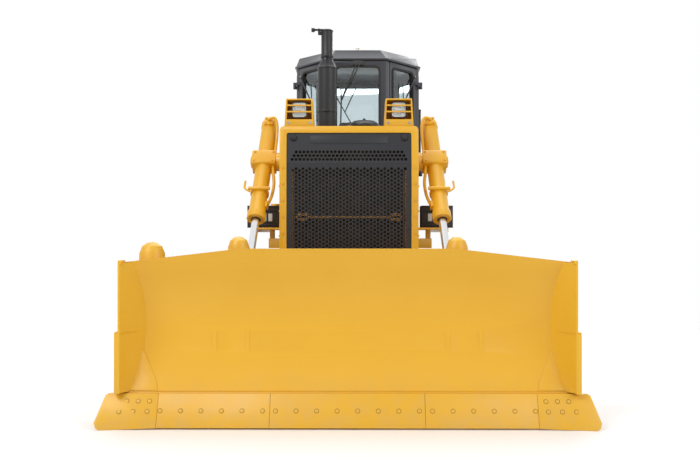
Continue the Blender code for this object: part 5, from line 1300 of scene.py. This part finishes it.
def wall_plane(start, end, depth=0.0):
    """A plane on a wall: x runs along it from start, y is height, z comes out of it."""
    run = (end - start).normalized()
    matrix = Matrix.Translation((start.x, start.y, 0)) @ Matrix.Rotation(math.atan2(run.y, run.x), 4, "Z") @ \
        Matrix.Rotation(math.pi / 2, 4, "X")
    return matrix @ Matrix.Translation((0, 0, -depth))


def window(name, start, end, x, z, body="root", radius=0.045):
    """A pane with its gasket: a rubber rim outside and one inside."""
    bm = bmesh.new()
    add_slab(bm, rounded_outline((x[0] + 0.002, x[1] - 0.002), (z[0] + 0.002, z[1] - 0.002), radius), wall_plane(start, end, 0.020), 0.005)
    pane = made(f"{name}_pane", bm, CAB_GLASS, body, angle=60)
    bm = bmesh.new()
    add_rim(bm, (x[0] + 0.010, x[1] - 0.010), (z[0] + 0.010, z[1] - 0.010), radius - 0.008, 0.021, wall_plane(start, end, -0.0004), 0.006)
    add_rim(bm, (x[0] + 0.010, x[1] - 0.010), (z[0] + 0.010, z[1] - 0.010), radius - 0.008, 0.0095, wall_plane(start, end, 0.026), 0.026)
    made(f"{name}_gasket", bm, RUBBER, body, bevel=0.0015)
    return pane


# %% Windscreen, side, rear and door panes
front_half = CAB_FRONT_HALF - 0.07
window("windscreen", PLAN[0], PLAN[1], (CAB_FRONT_HALF - front_half, CAB_FRONT_HALF + front_half), (SILL + 0.12, EAVE - 0.06))
for number, k in enumerate(range(2, 7)):
    length = (PLAN[k + 1] - PLAN[k]).length
    window(f"cab_window_{number + 1}", PLAN[k], PLAN[k + 1], (0.075, length - 0.075), (SILL + 0.14, EAVE - 0.06))
POST, RUN_GAP = 0.055, 0.006
for side_name, side in SIDES:
    start, end = (PLAN[1], PLAN[2]) if side > 0 else (PLAN[7], PLAN[0])
    run = (end - start).normalized()
    length = (end - start).length - 2 * (POST + RUN_GAP)
    first = start + run * (POST + RUN_GAP)
    window(f"cab_door_{side_name}", first, end, (0.055, length - 0.055), (SILL + RUN_GAP + 0.12, EAVE - RUN_GAP - 0.055),
           f"cab_door_{side_name}")
    plane = wall_plane(first, end)
    handle_x = 0.027 if side > 0 else length - 0.027
    hinge_x = length - 0.027 if side > 0 else 0.027
    bm = bmesh.new()
    grip = [plane @ Vector(p) for p in ((handle_x, 2.26, 0.0), (handle_x, 2.26, 0.035), (handle_x, 2.29, 0.042), (handle_x, 2.42, 0.042),
                                        (handle_x, 2.45, 0.035), (handle_x, 2.45, 0.0))]
    add_tube(bm, grip, 0.009, 12)
    add_slab(bm, rounded_outline((handle_x - 0.020, handle_x + 0.020), (2.16, 2.23), 0.010), plane, 0.014)
    arm = [plane @ Vector(p) for p in ((hinge_x, 3.10, 0.012), ((hinge_x + length / 2) / 2, 2.96, 0.020), (length / 2, 2.80, 0.014))]
    add_tube(bm, arm, 0.008, 10)
    blade = [plane @ Vector((length / 2 + dx, z, 0.010)) for dx, z in ((-0.02, 3.0), (0, 2.80), (0.02, 2.60))]
    add_tube(bm, blade, 0.006, 8)
    made(f"cab_door_fittings_{side_name}", bm, PLASTIC, f"cab_door_{side_name}")
    bm = bmesh.new()
    add_turned(bm, [(0.010, 0), (0.010, 0.010), (0.006, 0.013), (0, 0.013)], plane @ Vector((hinge_x, 3.10, 0.006)),
               (plane.to_3x3() @ Vector((0, 0, 1))), 16)
    made(f"cab_door_wiper_nut_{side_name}", bm, ZINC, f"cab_door_{side_name}")

# %% Front and rear wipers, roof vent and rear work lamps
bm = bmesh.new()
plane = wall_plane(PLAN[0], PLAN[1])
pivot_x, pivot_z = CAB_FRONT_HALF - 0.005, EAVE - 0.022
for shift in (0.0, 0.030):
    arm = [plane @ Vector(p) for p in ((pivot_x + shift, pivot_z, 0.016), (pivot_x + shift - 0.03, pivot_z - 0.07, 0.034),
                                       (pivot_x - 0.13 + shift * 0.4, pivot_z - 0.30, 0.028), (pivot_x - 0.158, pivot_z - 0.385, 0.020))]
    add_tube(bm, arm, 0.0065, 10)
add_box(bm, (CAB_X - 0.045, CAB_X + 0.055), (CAB_Y0 - 0.030, CAB_Y0 - 0.001), (EAVE - 0.050, EAVE - 0.006))
blade = [plane @ Vector((pivot_x - 0.163 - 0.006 * abs(t), pivot_z - 0.395 + t * 0.235, 0.014)) for t in (-1, -0.5, 0, 0.5, 1)]
add_tube(bm, blade, 0.0075, 8)
made("front_wiper", bm, PLASTIC, bevel=0.001)
bm = bmesh.new()
plane = wall_plane(PLAN[4], PLAN[5])
mid = CAB_REAR_HALF
arm = [plane @ Vector(p) for p in ((mid, EAVE - 0.03, 0.012), (mid + 0.05, EAVE - 0.12, 0.026), (mid + 0.15, EAVE - 0.34, 0.018))]
add_tube(bm, arm, 0.007, 10)
blade = [plane @ Vector((mid + 0.15 + 0.10 * t, EAVE - 0.34 + 0.18 * t, 0.012)) for t in (-1, 0, 1)]
add_tube(bm, blade, 0.007, 8)
made("rear_wiper", bm, PLASTIC)

roof_low, roof_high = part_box("cab_roof")
bm = bmesh.new()
add_turned(bm, [(0.032, 0), (0.032, 0.012), (0.022, 0.020), (0.018, 0.034), (0, 0.040)], (CAB_X, CAB_Y0 + 0.10, roof_high.z - 0.002), segments=28)
made("roof_vent", bm, ZINC)
bm = bmesh.new()
for x in (-0.32, 0.32):
    place = Vector((CAB_X + x, roof_high.y - 0.01, roof_low.z + 0.05))
    add_slab(bm, rounded_outline((-0.07, 0.07), (-0.04, 0.04), 0.012), Matrix.Translation(place) @ Matrix.Rotation(-math.pi / 2, 4, "X"), 0.06)
made("rear_work_lamps", bm, PLASTIC, bevel=0.002)
bm = bmesh.new()
for x in (-0.32, 0.32):
    place = Vector((CAB_X + x, roof_high.y + 0.050, roof_low.z + 0.05))
    add_slab(bm, rounded_outline((-0.062, 0.062), (-0.033, 0.033), 0.010), Matrix.Translation(place) @ Matrix.Rotation(-math.pi / 2, 4, "X"), 0.004)
made("rear_work_lenses", bm, LENS_GLASS)

# %% [markdown]
# ## Seat
# The cushions are foam under vinyl: crowned, pulled in between their corners, with sewn channels
# and a piping cord round the seam. Each is a dense rounded block whose points are moved by a rule.


# %% Crowned cushions
def cushion(name, size, place, channels, replaced, crown=0.030, lean=0.0):
    """A padded block: crowned on top, waisted at its sides, with sewn channels across it."""
    bm = bmesh.new()
    bmesh.ops.create_cube(bm, size=2)
    bmesh.ops.subdivide_edges(bm, edges=bm.edges, cuts=15, use_grid_fill=True)
    half = Vector(size) / 2
    for vertex in bm.verts:
        u, v, w = vertex.co
        pull = 1 - 0.05 * (1 - u * u) * (1 - abs(v)) - 0.05 * (1 - v * v) * (1 - abs(u))
        round_u = u * math.sqrt(1 - 0.10 * v * v - 0.10 * w * w)
        round_v = v * math.sqrt(1 - 0.10 * u * u - 0.10 * w * w)
        top = w * math.sqrt(max(0.0, 1 - 0.24 * u * u - 0.24 * v * v))
        groove = max((math.exp(-((v - c) / 0.045) ** 2) for c in channels), default=0.0)
        rise = crown * (1 - u ** 4) * (1 - v ** 4) * (1 - 0.55 * groove) if w > 0 else 0
        squeeze = 1 - 0.045 * (1 - w * w)
        x, y = round_u * half.x * squeeze * pull, round_v * half.y * squeeze * pull
        z = top * (half.z - crown / 2) + rise - crown / 2 - (0.010 * groove if w > 0.9 else 0)
        vertex.co = (x, y, z)
    matrix = Matrix.Translation(place) @ Matrix.Rotation(lean, 4, "X")
    bm.transform(matrix)
    piece = made(name, bm, VINYL, angle=180)
    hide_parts(replaced)
    seam = bmesh.new()
    outline = rounded_outline((-half.x * 0.93, half.x * 0.93), (-half.y * 0.93, half.y * 0.93), 0.05, 6)
    path = [matrix @ Vector((x, y, -0.004)) for x, y in outline]
    add_tube(seam, path + [path[0]], 0.0055, 8, 1)
    made(f"{name}_piping", seam, VINYL)
    return piece


seat_low, seat_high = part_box("seat_cushion")
size = seat_high - seat_low
cushion("seat_cushion_pad", size, (seat_low + seat_high) / 2, (-0.45, 0.0, 0.45), "seat_cushion")
back_low, back_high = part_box("seat_back")
lean = math.atan2(0.12, back_high.z - back_low.z)
size = Vector((back_high.x - back_low.x, back_high.z - back_low.z - 0.02, 0.10))
place = Vector(((back_low.x + back_high.x) / 2, (back_low.y + back_high.y) / 2, (back_low.z + back_high.z) / 2))
cushion("seat_back_pad", size, place, (-0.5, 0.0, 0.5), "seat_back", lean=math.pi / 2 - lean)
print("seat done")

# %% [markdown]
# ## Crawler tracks
# A track is a closed chain: each shoe is held on two links by four bolts, and pins in bushings join
# the links. The chain repeats all round, so Geometry Nodes put one set of hardware at each shoe.
# A point stands for each shoe, and carries the angle at which its shoe faces outwards.

# %% Stations along the chain
SHOE_PITCH, WHEELBASE, SPROCKET_R, IDLER_R, PIN_LOW = 0.216, 2.73, 0.4683, 0.41, 0.135
SPROCKET_Y, IDLER_Y, PLATE_OUT, RAIL_X = 2.01, -0.72, 0.070, 0.070
BELT_SLOPE = math.atan2(SPROCKET_R - IDLER_R, WHEELBASE)
CREST = math.pi / 2 + 2 * BELT_SLOPE


def chain_stations():
    """(y, z, outward angle) of each shoe's middle, round the sprocket and the idler."""
    rear = (SPROCKET_Y, PIN_LOW + SPROCKET_R, SPROCKET_R, -math.pi / 2, CREST)
    front = (IDLER_Y, PIN_LOW + IDLER_R, IDLER_R, CREST, 1.5 * math.pi)
    lengths = (rear[2] * (rear[4] - rear[3]), WHEELBASE, front[2] * (front[4] - front[3]), WHEELBASE)
    count = round(sum(lengths) / SHOE_PITCH)
    for k in range(count):
        along = sum(lengths) * (k + 0.5) / count
        for part, length in enumerate(lengths):
            if along <= length:
                break
            along -= length
        cy, cz, radius, first, last = (rear, rear, front, front)[part]
        angle = first + along / radius if part in (0, 2) else last
        slide = along if part in (1, 3) else 0
        yield cy + radius * math.cos(angle) - slide * math.sin(angle), \
            cz + radius * math.sin(angle) + slide * math.cos(angle), angle


# %% The tree for the chain's hardware
def make_chain_tree():
    """Four bolts and two pin ends at each point, turned by the point's own angle."""
    tree, start, end = node_tree("chain_hardware", (
        ("Radius", "Float", 0.015), ("Height", "Float", 0.011), ("Plate Out", "Float", PLATE_OUT),
        ("Rail", "Float", RAIL_X), ("Pitch", "Float", SHOE_PITCH), ("Material", "Material", None),
    ))
    join = tree.nodes.new("GeometryNodeJoinGeometry")
    bolt = bolt_parts(tree, start)
    for side in (-1, 1):
        for along in (-0.055, 0.022):
            place = tree.nodes.new("ShaderNodeCombineXYZ")
            mirror = node(tree, "ShaderNodeMath", operation="MULTIPLY")
            mirror.inputs[1].default_value = side
            move = tree.nodes.new("GeometryNodeTransform")
            place.inputs["Y"].default_value = along
            wire(tree, (start.outputs["Rail"], mirror.inputs[0]), (mirror.outputs[0], place.inputs["X"]),
                 (start.outputs["Plate Out"], place.inputs["Z"]), (bolt, move.inputs["Geometry"]),
                 (place.outputs[0], move.inputs["Translation"]), (move.outputs[0], join.inputs[0]))
    for radius, length, sides in ((0.040, 0.200, 16), (0.020, 0.222, 12)):
        pin = tree.nodes.new("GeometryNodeMeshCylinder")
        pin.inputs["Vertices"].default_value = sides
        pin.inputs["Radius"].default_value = radius
        pin.inputs["Depth"].default_value = length
        half = node(tree, "ShaderNodeMath", operation="MULTIPLY")
        half.inputs[1].default_value = 0.5
        place = tree.nodes.new("ShaderNodeCombineXYZ")
        move = tree.nodes.new("GeometryNodeTransform")
        move.inputs["Rotation"].default_value = (0, math.pi / 2, 0)
        wire(tree, (start.outputs["Pitch"], half.inputs[0]), (half.outputs[0], place.inputs["Y"]),
             (pin.outputs["Mesh"], move.inputs["Geometry"]), (place.outputs[0], move.inputs["Translation"]),
             (move.outputs[0], join.inputs[0]))
    angle = tree.nodes.new("GeometryNodeInputNamedAttribute")
    angle.data_type = "FLOAT"
    angle.inputs["Name"].default_value = "turn"
    turn = tree.nodes.new("ShaderNodeCombineXYZ")
    points = tree.nodes.new("GeometryNodeInstanceOnPoints")
    wire(tree, (angle.outputs["Attribute"], turn.inputs["X"]), (start.outputs["Geometry"], points.inputs["Points"]),
         (join.outputs[0], points.inputs["Instance"]), (turn.outputs[0], points.inputs["Rotation"]))
    ended(tree, points.outputs[0], start, end)
    return tree


# %% Both chains
CHAIN = make_chain_tree()
for side_name, side in SIDES:
    stations = list(chain_stations())
    host = points_mesh([(side * 1.0, y, z) for y, z, _ in stations])
    turns = host.attributes.new("turn", "FLOAT", "POINT")
    turns.data.foreach_set("value", [angle - math.pi / 2 for _, _, angle in stations])
    settled(f"chain_{side_name}", joined([grown(CHAIN, host, Material=STEEL)]), STEEL)
    print("chain", side_name, len(stations), "shoes")

# %% [markdown]
# ## Running gear
# Bolted rings hold the final drives, the trunnions' caps and the rollers' end collars. Their seats
# are found on the frame itself: a ray from outside stops on the face that a bolt sits on.

# %% Rings of bolts on the drives, trunnions and rollers
for side_name, side in SIDES:
    way = (side, 0, 0)
    inwards = (-side, 0, 0)
    groups = []
    for centre, radius, count, host in (
        ((SPROCKET_Y, 0.6033), 0.268, 12, "main_frame"), ((SPROCKET_Y, 0.6033), 0.105, 6, "main_frame"),
        ((0.57, 0.56), 0.088, 8, f"track_frame_{side_name}"),
    ):
        places = []
        for k in range(count):
            a = 2 * math.pi * k / count
            found, _ = seat(host, (side * 1.9, centre[0] + radius * math.cos(a), centre[1] + radius * math.sin(a)), inwards)
            if found is not None:
                places.append(found)
        groups.append((places, way))
    bolts(f"drive_bolts_{side_name}", groups, 0.015, 0.012, YELLOW)

    frame_low, frame_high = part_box(f"track_frame_{side_name}")
    bm = bmesh.new()
    collars = []
    for k in range(7):
        y = -0.28 + 0.30 * k
        found, _ = seat(f"track_frame_{side_name}", (side * 1.9, y, 0.46), inwards)
        if found is None or abs(found.x) < 1.1:
            continue
        add_turned(bm, [(0.040, 0), (0.040, 0.010), (0.032, 0.016), (0.014, 0.017), (0, 0.015)], found, way, 24)
        collars += ring(found, way, 0.054, 4, math.pi / 4)
    made(f"roller_caps_{side_name}", bm, YELLOW, bevel=0.001)
    bolts(f"roller_bolts_{side_name}", [(collars, way)], 0.009, 0.008, YELLOW)
    found, _ = seat(f"push_arm_{side_name}", (side * 1.9, -1.90, 0.42), inwards)
    cup = ring(found, way, 0.075, 4, math.pi / 4)
    bolts(f"arm_cup_bolts_{side_name}", [(cup, way)], 0.011, 0.010, YELLOW, f"push_arm_{side_name}")

# %% [markdown]
# ## Decks and boxes
# The decks beside the cab are tread plate: a grid of low raised bars, turned alternately, so that a
# wet boot grips. Geometry Nodes set one bar at each point of the grid, turned by the point's angle.

# %% Tread plate
def make_tread_tree():
    """A low bar on each point, turned about +Z by the point's own angle."""
    tree, start, end = node_tree("tread_bars", (
        ("Length", "Float", 0.026), ("Width", "Float", 0.007), ("Height", "Float", 0.0024), ("Material", "Material", None),
    ))
    size = tree.nodes.new("ShaderNodeCombineXYZ")
    bar = tree.nodes.new("GeometryNodeMeshCube")
    angle = tree.nodes.new("GeometryNodeInputNamedAttribute")
    angle.data_type = "FLOAT"
    angle.inputs["Name"].default_value = "turn"
    turn = tree.nodes.new("ShaderNodeCombineXYZ")
    points = tree.nodes.new("GeometryNodeInstanceOnPoints")
    wire(tree, (start.outputs["Length"], size.inputs["X"]), (start.outputs["Width"], size.inputs["Y"]),
         (start.outputs["Height"], size.inputs["Z"]), (size.outputs[0], bar.inputs["Size"]),
         (angle.outputs["Attribute"], turn.inputs["Z"]), (start.outputs["Geometry"], points.inputs["Points"]),
         (bar.outputs["Mesh"], points.inputs["Instance"]), (turn.outputs[0], points.inputs["Rotation"]))
    ended(tree, points.outputs[0], start, end)
    return tree


TREAD = make_tread_tree()
TREAD_STEP = 0.034
for side_name, side in SIDES:
    low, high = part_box(f"deck_{side_name}")
    places, turns = [], []
    columns, lines = int((high.x - low.x - 0.05) / TREAD_STEP), int((high.y - low.y - 0.05) / TREAD_STEP)
    for i in range(columns):
        for j in range(lines):
            x, y = low.x + 0.04 + TREAD_STEP * i, low.y + 0.04 + TREAD_STEP * j
            found, normal = seat(f"deck_{side_name}", (x, y, 2.6), (0, 0, -1))
            if found is not None and normal.z > 0.9:
                places.append((x, y, found.z + 0.0008))
                turns.append(math.radians(45 if (i + j) % 2 else -45))
    host = points_mesh(places)
    host.attributes.new("turn", "FLOAT", "POINT").data.foreach_set("value", turns)
    settled(f"tread_{side_name}", joined([grown(TREAD, host, Material=YELLOW)]), YELLOW)
    print("tread", side_name, len(places), "bars")

# %% Deck boxes: blank plates, ribs, latches and lid handles
PALE = finish("pale_plate", (0.56, 0.57, 0.56), (0.48, 0.49, 0.49), 0.4, dust=0.2)
SLOT_OF["pale_plate"] = "rod_chrome"
for side_name, side in SIDES:
    box_name = f"deck_box_{side_name}"
    low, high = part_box(box_name)
    front = low.y
    mid_z = (low.z + high.z) / 2
    outer, inner = (high.x, low.x) if side > 0 else (low.x, high.x)
    bm = bmesh.new()
    for step in (0.085, 0.145):
        x = inner + side * step
        add_slab(bm, rounded_outline((x - 0.020, x + 0.020), (mid_z - 0.038, mid_z + 0.040), 0.005), upright(y=front), 0.003)
    made(f"box_plates_{side_name}", bm, PALE, bevel=0.0008)
    bm = bmesh.new()
    for z in (low.z + 0.028, high.z - 0.035):
        add_box(bm, (min(inner, outer) + 0.02, max(inner, outer) - 0.02), (front - 0.007, front + 0.002), (z - 0.007, z + 0.007))
    add_box(bm, (outer - side * 0.075, outer - side * 0.030), (front - 0.012, front + 0.002), (mid_z - 0.045, mid_z + 0.045))
    made(f"box_ribs_{side_name}", bm, BLACK, bevel=0.002)
    bolts(f"box_bolts_{side_name}", [([(outer - side * 0.052, front - 0.012, mid_z + d) for d in (-0.028, 0.028)], forward)],
          0.006, 0.005, ZINC)
    low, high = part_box(f"deck_box_lid_{side_name}")
    bm = bmesh.new()
    y = (low.y + high.y) / 2
    x = high.x - 0.004 if side > 0 else low.x + 0.004
    add_tube(bm, [(x - side * 0.10, y - 0.06, high.z - 0.004), (x - side * 0.10, y - 0.055, high.z + 0.022),
                  (x - side * 0.10, y + 0.055, high.z + 0.022), (x - side * 0.10, y + 0.06, high.z - 0.004)], 0.006, 10, 4)
    made(f"box_handle_{side_name}", bm, ZINC, f"deck_box_lid_{side_name}")

# %% Grab rails on the cab and beside the tank
bm = bmesh.new()
for side in (-1, 1):
    x = CAB_X + side * (CAB_WIDE + 0.028)
    add_tube(bm, [(x - side * 0.03, 0.72, 2.10), (x, 0.72, 2.12), (x, 0.72, 2.16), (x, 0.72, 2.74), (x, 0.72, 2.78),
                  (x - side * 0.03, 0.72, 2.80)], 0.013, 14, 4)
made("cab_rails", bm, CAB_PAINT)
tank_low, tank_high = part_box("fuel_tank")
bm = bmesh.new()
for x in (tank_low.x + 0.16, tank_high.x - 0.16):
    add_tube(bm, [(x, tank_low.y + 0.12, tank_high.z - 0.004), (x, tank_low.y + 0.13, tank_high.z + 0.10),
                  (x, tank_high.y - 0.17, tank_high.z + 0.10), (x, tank_high.y - 0.16, tank_high.z - 0.004)], 0.014, 14, 6)
made("tank_rails", bm, YELLOW)

# %% [markdown]
# ## Rear of the machine
# The fuel tank closes the rear. It has a filler, a sight gauge, an inspection cover on a bolted
# flange, welded seams, and two guarded lamps. The drawbar's pin hangs below it.

# %% Tank fittings
mid_x = (tank_low.x + tank_high.x) / 2
mid_z = (tank_low.z + tank_high.z) / 2
back = (0, 1, 0)
bm = bmesh.new()
found, _ = seat("fuel_tank", (mid_x, tank_high.y + 0.3, mid_z), (0, -1, 0))
cover = Vector(found)
add_turned(bm, [(0.150, 0), (0.150, 0.010), (0.146, 0.012), (0.09, 0.013), (0.085, 0.020), (0, 0.021)], cover, back, 48)
made("tank_cover", bm, YELLOW, bevel=0.001)
bolts("tank_cover_bolts", [([p + Vector((0, 0.011, 0)) for p in ring(cover, back, 0.125, 12)], back)], 0.009, 0.008, ZINC)
bm = bmesh.new()
filler, _ = seat("fuel_tank", (tank_low.x + 0.34, tank_high.y - 0.20, tank_high.z + 0.5), (0, 0, -1))
add_turned(bm, [(0.070, -0.002), (0.070, 0.030), (0.078, 0.034), (0.080, 0.058), (0.074, 0.066), (0, 0.070)], filler, (0, 0, 1), 40)
add_box(bm, (filler.x - 0.055, filler.x + 0.055), (filler.y - 0.009, filler.y + 0.009), (filler.z + 0.062, filler.z + 0.082))
made("tank_filler", bm, CAB_PAINT, bevel=0.0015)
bm = bmesh.new()
gauge, _ = seat("fuel_tank", (tank_low.x + 0.16, tank_high.y + 0.3, mid_z), (0, -1, 0))
add_slab(bm, rounded_outline((-0.022, 0.022), (-0.16, 0.16), 0.018),
         Matrix.Translation(gauge) @ Matrix.Rotation(-math.pi / 2, 4, "X"), 0.010)
made("tank_gauge", bm, ZINC, bevel=0.001)
bm = bmesh.new()
for x in (tank_low.x + 0.03, tank_high.x - 0.03):
    top, _ = seat("fuel_tank", (x, tank_high.y + 0.3, mid_z), (0, -1, 0))
    if top is not None:
        add_tube(bm, [(x, top.y, tank_low.z + 0.05), (x, top.y, mid_z), (x, top.y, tank_high.z - 0.08)], 0.005, 8, 2)
made("tank_seams", bm, YELLOW)

# %% Tail lamps
for number, x in enumerate((tank_low.x + 0.12, tank_high.x - 0.12)):
    spot, _ = seat("fuel_tank", (x, tank_high.y + 0.3, tank_high.z - 0.16), (0, -1, 0))
    plane = Matrix.Translation(spot) @ Matrix.Rotation(-math.pi / 2, 4, "X")
    bm = bmesh.new()
    add_slab(bm, rounded_outline((-0.060, 0.060), (-0.038, 0.038), 0.012), plane, 0.018)
    made(f"tail_housing_{number}", bm, PLASTIC, bevel=0.002)
    bm = bmesh.new()
    add_slab(bm, rounded_outline((-0.052, 0.052), (-0.030, 0.030), 0.009), plane @ Matrix.Translation((0, 0, 0.016)), 0.007)
    made(f"tail_lens_{number}", bm, AMBER, bevel=0.002)

# %% Drawbar pin
jaw_low, jaw_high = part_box("drawbar")
bm = bmesh.new()
pin_y = jaw_high.y - 0.075
add_turned(bm, [(0.024, jaw_low.z - 0.02), (0.026, jaw_low.z - 0.014), (0.026, jaw_high.z + 0.002), (0.040, jaw_high.z + 0.004),
                (0.040, jaw_high.z + 0.016), (0.018, jaw_high.z + 0.020), (0, jaw_high.z + 0.020)], (0, pin_y, 0), (0, 0, 1), 28)
loop = [(0.030 * math.cos(a), pin_y, jaw_high.z + 0.050 + 0.030 * math.sin(a)) for a in (2 * math.pi * k / 16 for k in range(17))]
add_tube(bm, loop, 0.005, 8, 1)
made("drawbar_pin", bm, STEEL)

# %% [markdown]
# ## Rain cap
# The flap on the exhaust pipe is a pressed disc with a rolled rim. Gas lifts it, and a cast weight
# on its short arm shuts it again.

# %% The flap, its arm and weight
cap_low, cap_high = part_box("rain_cap")
hinge_place = Vector(JOINTS["rain_cap_swing"]["pos_m"])
pipe_x = -0.213
bm = bmesh.new()
rim = cap_high.x - pipe_x
lid = cap_low.z + 0.0
disc_z = hinge_place.z - 0.010
add_turned(bm, [(rim - 0.004, -0.004), (rim, -0.002), (rim, 0.006), (rim - 0.006, 0.010), (rim * 0.75, 0.015), (rim * 0.4, 0.018), (0, 0.019)],
           (pipe_x, hinge_place.y, disc_z), (0, 0, 1), 40)
add_tube(bm, [(pipe_x - 0.01, hinge_place.y, disc_z + 0.016), (hinge_place.x, hinge_place.y, hinge_place.z + 0.004),
              (cap_low.x + 0.030, hinge_place.y, hinge_place.z + 0.006)], 0.0085, 12, 4)
add_turned(bm, [(0.011, -0.014), (0.0125, -0.013), (0.0125, 0.013), (0.011, 0.014)], hinge_place, (0, 1, 0), 20)
weight = Vector((cap_low.x + 0.020, hinge_place.y, hinge_place.z + 0.001))
add_turned(bm, [(0.006, -0.013), (0.016, -0.011), (0.0195, -0.004), (0.0195, 0.004), (0.016, 0.011), (0.006, 0.013)], weight, (1, 0, 0), 24)
cap = made("rain_cap_flap", bm, EXHAUST, "rain_cap", bevel=0.001)
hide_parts("rain_cap")

# %% [markdown]
